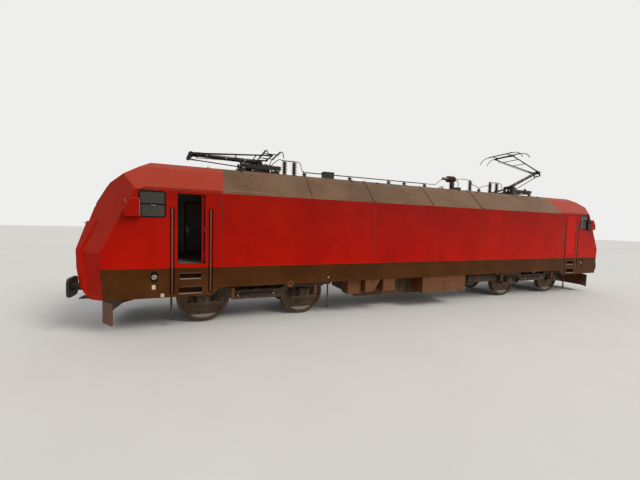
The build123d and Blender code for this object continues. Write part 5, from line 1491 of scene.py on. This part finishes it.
axleLook = {"cover": [(0, 0.112), (0.004, 0.112), (0.007, 0.104), (0.007, 0.07), (0.011, 0.062), (0.011, 0.03),
                      (0.004, 0.026)],
            "bolt": [(0, 0.011), (0.007, 0.011), (0.009, 0.009)], "boltCircle": 0.092,
            "cable": ((0, 0.008, 0), (0.01, 0.014, 0.06), (0.05, 0.012, 0.13), (0.06, -0.03, 0.165)),
            "rod": [(0, 0.016), (0.02, 0.02), (0.03, 0.026), (0.12, 0.026), (0.125, 0.02), (0.13, 0.012),
                    (0.235, 0.012)],
            "sleeve": [(0.11, 0.0265), (0.11, 0.031), (0.215, 0.031), (0.222, 0.02)],
            "cylinder": [(-0.06, 0.05), (-0.05, 0.062), (0.04, 0.062), (0.06, 0.04)]}


def addAxleTrim(shape, middle, axle, side):
    # axle-box cover with bolts and cable, upright damper, brake cylinder
    outward = (0, side, 0)
    x = middle + axle * bogieLook["axle"]
    hub = Vector((x, side * 1.099, bogieLook["axleRise"]))
    addLathe(shape, axleLook["cover"], hub, outward, 32, 1)
    for a, b in circle(8, 0.5):
        spot = hub + Vector((a * axleLook["boltCircle"], side * 0.006, b * axleLook["boltCircle"]))
        addLathe(shape, axleLook["bolt"], spot, outward, 6)
    addPipe(shape, [hub + Vector((a, side * b, c)) for a, b, c in axleLook["cable"]], 5, 0.006, 8, 2)
    foot = (x - axle * 0.34, side * 1.04, 0.565 + railTop)
    addLathe(shape, axleLook["rod"], foot, upward, 16, 2)
    addLathe(shape, axleLook["sleeve"], foot, upward, 16, 2)
    unit = Vector((middle + axle * 0.56, side * 0.86, 0.69 + railTop))
    addLathe(shape, axleLook["cylinder"], unit, (axle, 0, 0), 20, 2)
    addBlock(shape, around(unit.x, 0.05), (side * 0.86, side * 0.935), around(unit.z, 0.05))


damperLook = {"rod": [(0, 0.018), (0.02, 0.026), (0.03, 0.03), (0.42, 0.03), (0.43, 0.026), (0.44, 0.014),
                      (0.9, 0.014), (0.92, 0.018)],
              "sleeve": [(0.4, 0.0305), (0.4, 0.0335), (0.84, 0.0335), (0.85, 0.02)],
              "eye": [(-0.034, 0.02), (-0.03, 0.026), (0.022, 0.026), (0.026, 0.02)],
              "at": (-0.5, 1.112, 0.69 + railTop), "long": 0.92}
harness = ((-1.75, 0.99, 1.02), (-1.2, 0.95, 1.045), (-0.75, 0.925, 0.93), (0, 0.925, 0.9), (0.75, 0.925, 0.93),
           (1.2, 0.95, 1.045), (1.75, 0.99, 1.02))


def makeBogieTrim(end):
    middle = bogieLook["pivot"][end]
    shape = newShape()
    nozzle = [(-0.02, 0.0245), (-0.018, 0.029), (0.05, 0.029), (0.052, 0.0245)]
    for side in (-1, 1):
        outward = (0, side, 0)
        for axle in (-1, 1):
            addAxleTrim(shape, middle, axle, side)
        for x in around(middle, 0.46):
            for z in (0.62 + railTop, 0.76 + railTop):
                addBolt(shape, (x, side * 1.079, z), outward, 0.013)
        x, y, z = damperLook["at"]
        start = Vector((middle + x, side * y, z))
        addLathe(shape, damperLook["rod"], start, lengthwise, 18, 2)
        addLathe(shape, damperLook["sleeve"], start, lengthwise, 18, 2)
        for spot in (start, start + Vector((damperLook["long"], 0, 0))):
            addLathe(shape, damperLook["eye"], spot, outward, 16)
        addPipe(shape, [(middle + x, side * y, z) for x, y, z in harness], 6, 0.011)
        for way in (-1, 1):
            x = middle + way * 2.06
            addLathe(shape, nozzle, (x, side * 1.02, 0.17 + railTop), upward, 18, 2, True)
            addBlock(shape, around(x, 0.07), (side * 1.0795, side * 1.084), around(0.91 + railTop, 0.04), 2)
            addBolt(shape, (x - way * 0.02, side * 1.083, 0.91 + railTop), outward)
    makePiece(f"bogieFittings_{end}", shape, "galvanized gearSteel blackPaint", f"bogie_{end}",
              edge=0.001)


discLook = {"faces": (0.7675, 0.7325), "cuts": 18, "cut": (0.2, 0.27), "bolt": 0.235, "thick": 0.012,
            "ring": [(0, 0.26), (0.012, 0.26), (0.015, 0.264), (0.015, 0.456), (0.012, 0.46), (0, 0.46)]}


def makeBrakeDiscs(number):
    # friction rings with radial lugs on both faces of each wheel's web, held by bolts through it
    low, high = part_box(f"wheelset_{number}")
    shape = newShape()
    for side in (-1, 1):
        for out, spot in zip((side, -side), discLook["faces"]):
            hub = Vector(((low[0] + high[0]) / 2, side * spot, bogieLook["axleRise"]))
            addLathe(shape, discLook["ring"], hub, (0, out, 0), 48, 0, True)
            for turn in range(discLook["cuts"]):
                angle = 2 * math.pi * turn / discLook["cuts"]
                spin = Matrix.Translation(hub) @ Matrix.Rotation(angle, 4, "Y")
                addBlock(shape, discLook["cut"], (0, out * discLook["thick"]), (-0.006, 0.006), 0, spin)
                if turn % 2:
                    foot = spin @ Vector((discLook["bolt"], out * discLook["thick"], 0))
                    addLathe(shape, [(0, 0.014), (0.01, 0.014), (0.012, 0.01)], foot, (0, out, 0), 6, 1)
    makePiece(f"brakeDiscs_{number}", shape, "wheelSteel galvanized", f"wheelset_{number}")


for end in ends:
    makeSprings(end)
    makeBogieTrim(end)
for number in range(1, 5):
    makeBrakeDiscs(number)
print("bogie fittings made")


# cab inside: console, bulkhead door, seats with simulated pads

cabLook = {"deskTop": (8.9, 2.56 + railTop), "deskFoot": (8.47, 2.38 + railTop), "floor": 1.57 + railTop, "wall": 6.43,
           "seat": (7.96, -0.47), "voxel": 0.011, "frames": 20, "pressure": 4}


def deskPanel():
    # two screens, a row of lit buttons over toggles, and two levers
    part = newShape()
    addBlock(part, around(0, 0.42), around(0, 0.2), (0, 0.006))
    for x in around(0, 0.2):
        addBlock(part, around(x, 0.15), (-0.03, 0.18), (0.004, 0.02))
        addBlock(part, around(x, 0.13), (-0.012, 0.162), (0.019, 0.0215), 1)
    for index in range(10):
        x = -0.36 + index * 0.08
        addLathe(part, [(0, 0.014), (0.01, 0.014), (0.013, 0.009)], (x, -0.08, 0.006), upward, 14, 2 + index % 3)
        addBlock(part, around(x, 0.012), (-0.15, -0.125), (0.006, 0.014), 3)
    lever = [(0, 0.03), (0.01, 0.028), (0.02, 0.012), (0.07, 0.009), (0.075, 0.018), (0.105, 0.02), (0.115, 0.012)]
    for x in around(0, 0.385):
        addLathe(part, lever, (x, 0.08, 0.004), (0, -0.2, 1), 18)
    return part


def makeConsole():
    shape = newShape()
    panel = deskPanel()
    for y in around(0, 0.47):
        merge(shape, panel, slopePlace(cabLook["deskTop"], cabLook["deskFoot"], 0.5, y))
        addBlock(shape, (8.334, 8.34), around(y, 0.28), (2.2, 2.26))
    gauge, top = [(0, 0.045), (0.02, 0.045), (0.024, 0.04), (0.022, 0.036)], cabLook["deskTop"][1]
    for y in (-0.12, 0.0, 0.12):
        addLathe(shape, gauge, (8.98, y, top), (-0.5, 0, 1))
    addBlock(shape, (8.93, 9.06), around(0, 0.19), (top, top + 0.025))
    makePiece("cabConsoles", bothEnds(shape), "blackPaint mirrorGlass creamMark bodyPaint galvanized",
              edge=0.0015)


bulkheadLook = {"head": 3.45 + railTop, "half": 0.36, "postSide": 0.375, "handleRise": 2.6, "windowRise": 3.1,
                "handle": ((0.012, 0.28), (0.05, 0.28), (0.056, 0.25), (0.056, 0.16)), "cupboardSide": 0.9,
                "cupboardHalf": 0.28, "deep": 0.09, "drawersAt": (0.5, 0.85, 1.2)}


def makeBulkheadDoors():
    # a door with its frame, handle and round window, and a cupboard with three drawers at either side
    shape = newShape()
    face, foot, head = cabLook["wall"], cabLook["floor"], bulkheadLook["head"]
    addBlock(shape, (face, face + 0.012), around(0, bulkheadLook["half"]), (foot, head))
    for y in around(0, bulkheadLook["postSide"]):
        addBlock(shape, (face, face + 0.02), around(y, 0.02), (foot, head + 0.02), 1)
    addBlock(shape, (face, face + 0.02), around(0, 0.395), (head, head + 0.035), 1)
    handle = [(face + x, y, bulkheadLook["handleRise"]) for x, y in bulkheadLook["handle"]]
    addPipe(shape, handle, 5, 0.009, 10, 2)
    window = [(0, 0.12), (0.02, 0.12), (0.022, 0.11), (0.014, 0.1), (0.013, 0.01)]
    addLathe(shape, window, (face + 0.004, 0, bulkheadLook["windowRise"]), lengthwise, 28, 1)
    leaf = face + bulkheadLook["deep"]
    for y in around(0, bulkheadLook["cupboardSide"]):
        addBlock(shape, (face, leaf), around(y, bulkheadLook["cupboardHalf"]), (foot + 0.25, foot + 1.5), 1)
        for rise in bulkheadLook["drawersAt"]:
            addBlock(shape, (leaf, leaf + 0.004), around(y, 0.25), around(foot + rise, 0.13))
            addDisc(shape, 0.006, 0.01, 0.009, (leaf + 0.004, y + 0.2, foot + rise), lengthwise, 12, 2)
    makePiece("bulkheadDoors", bothEnds(shape), "cabGrey deskGrey galvanized", edge=0.002)


def fixMesh(piece):
    # the shape as its modifiers leave it becomes the mesh
    graph = bpy.context.evaluated_depsgraph_get()
    done = bpy.data.meshes.new_from_object(piece.evaluated_get(graph), depsgraph=graph)
    piece.modifiers.clear()
    old, piece.data = piece.data, done
    bpy.data.meshes.remove(old)


def blowUp(pad, thin, depth):
    # cloth under a little pressure, its back held
    held = pad.vertex_groups.new(name="held")
    held.add([vertex.index for vertex in pad.data.vertices if vertex.co[thin] < -depth * 0.42], 1.0, "REPLACE")
    cloth = pad.modifiers.new("cloth", "CLOTH")
    cloth.settings.use_pressure = True
    cloth.settings.uniform_pressure_force = cabLook["pressure"]
    cloth.settings.effector_weights.gravity = 0
    cloth.settings.vertex_group_mass = "held"
    cloth.settings.quality = 5
    cloth.point_cache.frame_start, cloth.point_cache.frame_end = 1, cabLook["frames"]
    for number in range(1, cabLook["frames"] + 1):
        scene.frame_set(number)
    fixMesh(pad)
    scene.frame_set(1)


def softPad(look):
    # a pad of cloth blown up over its fixed back, with sewn channels pressed into its face and a piping round it
    size, name = look["size"], look["form"]
    mesh = bpy.data.meshes.new(name)
    form = bmesh.new()
    bmesh.ops.create_cube(form, size=1, matrix=Matrix.Diagonal((*size, 1)))
    bmesh.ops.bevel(form, geom=form.edges[:], offset=min(size) * 0.28, segments=3, affect="EDGES", profile=0.5)
    form.to_mesh(mesh)
    form.free()
    pad = bpy.data.objects.new(name, mesh)
    scene.collection.objects.link(pad)
    thin = size.index(min(size))
    remesh = pad.modifiers.new("remesh", "REMESH")
    remesh.mode, remesh.voxel_size = "VOXEL", cabLook["voxel"]
    fixMesh(pad)
    start = [vertex.co.copy() for vertex in pad.data.vertices]
    blowUp(pad, thin, size[thin])
    for vertex, first in zip(pad.data.vertices, start):
        move = vertex.co - first
        if move.length > look["cap"]:
            vertex.co = first + move * (look["cap"] / move.length)
        if vertex.co[thin] > 0:
            across = vertex.co[look["axis"]]
            press = sum(math.exp(-((across - seam) / look["seamWide"]) ** 2) for seam in look["seams"])
            vertex.co[thin] -= look["seamDeep"] * min(press, 1)
    subdivide = pad.modifiers.new("subdivide", "SUBSURF")
    subdivide.levels = subdivide.render_levels = 1
    fixMesh(pad)
    shape = newShape()
    addFaces(shape, [vertex.co for vertex in pad.data.vertices], [face.vertices for face in pad.data.polygons])
    bpy.data.objects.remove(pad)
    piping = []
    for pair in circle(64):
        spot = [0.0, 0.0, 0.0]
        for index, part in zip([index for index in range(3) if index != thin], pair):
            spot[index] = math.copysign(abs(part) ** 0.32, part) * (size[index] / 2 + 0.004)
        spot[thin] = -size[thin] / 2 * 0.15
        piping.append(spot)
    addTube(shape, piping + piping[:1], 0.0045, 8, 1)
    return shape


cushionLook = {"form": "seatPadForm", "size": (0.45, 0.44, 0.086), "cap": 0.024, "axis": 1, "seams": (-0.075, 0.075),
               "seamDeep": 0.006, "seamWide": 0.009}
backLook = {"form": "backPadForm", "size": (0.075, 0.42, 0.62), "cap": 0.022, "axis": 2, "seams": (-0.16, 0.0, 0.16),
            "seamDeep": 0.006, "seamWide": 0.009}


seatLook = {"padRise": 0.461, "backRise": 0.79, "backLean": math.radians(-8), "folds": 9, "foldPitch": 0.032,
            "foldRadii": ((0.03, 0.05), (0.046, 0.075)), "restSide": 0.232, "postBack": 0.19}


def makeSeats():
    # swivel foot, bellows, pan and armrests; the pads are pieces of their own
    floor, (x, y) = cabLook["floor"], cabLook["seat"]
    post = x - seatLook["postBack"]
    seatPlace = Matrix.Translation((x + 0.005, y, floor + seatLook["padRise"]))
    backPlace = Matrix.Translation((post, y, floor + seatLook["backRise"]))
    backPlace = backPlace @ Matrix.Rotation(seatLook["backLean"], 4, "Y")
    stand = newShape()
    foot = [(0, 0.17), (0.012, 0.17), (0.02, 0.15), (0.028, 0.1), (0.03, 0.07)]
    addLathe(stand, foot, (x, y, floor), upward, 32)
    bellows = [(rise + index * seatLook["foldPitch"], radius) for index in range(seatLook["folds"])
               for rise, radius in seatLook["foldRadii"]]
    addLathe(stand, bellows + [(0.33, 0.05)], (x, y, floor), upward, 24, 1)
    addBlock(stand, around(x, 0.2), around(y, 0.19), (floor + 0.33, floor + 0.375))
    addBlock(stand, around(x, 0.235), around(y, 0.225), (floor + 0.375, floor + 0.418))
    addBlock(stand, (-0.068, -0.034), around(0, 0.215), (-0.34, 0.315), 0, backPlace)
    for side in (-1, 1):
        run = [(x - 0.2, y + side * 0.2, floor + 0.4), (x - 0.225, y + side * 0.2, floor + 0.5),
               (x - 0.235, y + side * 0.19, floor + 0.6)]
        addPipe(stand, run, 4, 0.014, 10)
        rest = y + side * seatLook["restSide"]
        addBlock(stand, (x - 0.2, x + 0.1), around(rest, 0.022), (floor + 0.6, floor + 0.635), 1)
        addRod(stand, (post, rest, floor + 0.42), (post, rest, floor + 0.61), 0.012)
        addRod(stand, (post, y + side * 0.19, floor + 0.425), (post, y + side * 0.245, floor + 0.425), 0.012)
    makePiece("seatFrames", bothEnds(bothSides(stand)), "blackPaint rubberBlack",
              instead="drivers_seats", edge=0.003)
    for kind, look, place in (("Cushion", cushionLook, seatPlace), ("Back", backLook, backPlace)):
        near = newShape()
        merge(near, softPad(look), place)
        for end in ends:
            for flank in flanks:
                shape = near if flank == "near" else flipped(near, "y")
                shape = shape if end == "right" else flipped(shape, "x")
                pad = makePiece(f"seat{kind}_{end}_{flank}", shape, "seatCloth rubberBlack", angle=70)


makeConsole()
makeBulkheadDoors()
makeSeats()
print("cab interiors made")


# floor, backdrop and lights

studio = {"reach": 120, "floor": (214, 211, 206), "floorShade": (206, 203, 198), "skySeen": (238, 238, 236),
          "skyLight": (232, 236, 240), "sky": 0.7}
lights = {
    "softSun": {"kind": "SUN", "place": (15, -20, 22), "target": (0, 0, 1), "energy": 2.0, "angle": math.radians(25),
                "color": (1, 0.96, 0.9)},
    "sideFill": {"kind": "AREA", "place": (13, -22, 7), "target": (0, 0, 1.5), "energy": 960, "size": 16,
                 "color": (1, 0.97, 0.93)},
}


def makeFloor():
    mesh = bpy.data.meshes.new("floor")
    far = studio["reach"]
    mesh.from_pydata([(-far, -far, 0), (far, -far, 0), (far, far, 0), (-far, far, 0)], [], [(0, 1, 2, 3)])
    floor = bpy.data.objects.new("floor", mesh)
    scene.collection.objects.link(floor)
    tree, body = startMaterial("floorPaper", shine=0.5)
    color = mottled(tree, studio["floor"], studio["floorShade"], 4.0, 0.5)
    finishMaterial(tree, body, color, 0.9, fineHeight(tree, 0.05, 0.2), 0.1, 0.001)
    mesh.materials.append(paints["floorPaper"])


def makeSky():
    world = bpy.data.worlds.new("paleSky")
    world.use_nodes = True
    tree = world.node_tree
    light = put(tree, "LightPath").outputs
    shiny = calc(tree, "MAXIMUM", light["Is Glossy Ray"], light["Is Transmission Ray"])
    seen = calc(tree, "MAXIMUM", light["Is Camera Ray"], shiny)
    background = tree.nodes["Background"].inputs
    feed(tree, background["Color"], mixed(tree, seen, studio["skyLight"], studio["skySeen"]))
    feed(tree, background["Strength"], spread(tree, seen, studio["sky"], 1.0))
    scene.world = world


def addLight(name, kind, place, target, **values):
    data = bpy.data.lights.new(name, kind)
    for key, value in values.items():
        setattr(data, key, value)
    light = bpy.data.objects.new(name, data)
    light.location = place
    light.rotation_euler = (Vector(target) - Vector(place)).to_track_quat("-Z", "Y").to_euler()
    scene.collection.objects.link(light)


makeFloor()
makeSky()
for name, look in lights.items():
    addLight(name, **look)
print("stage and lights placed")
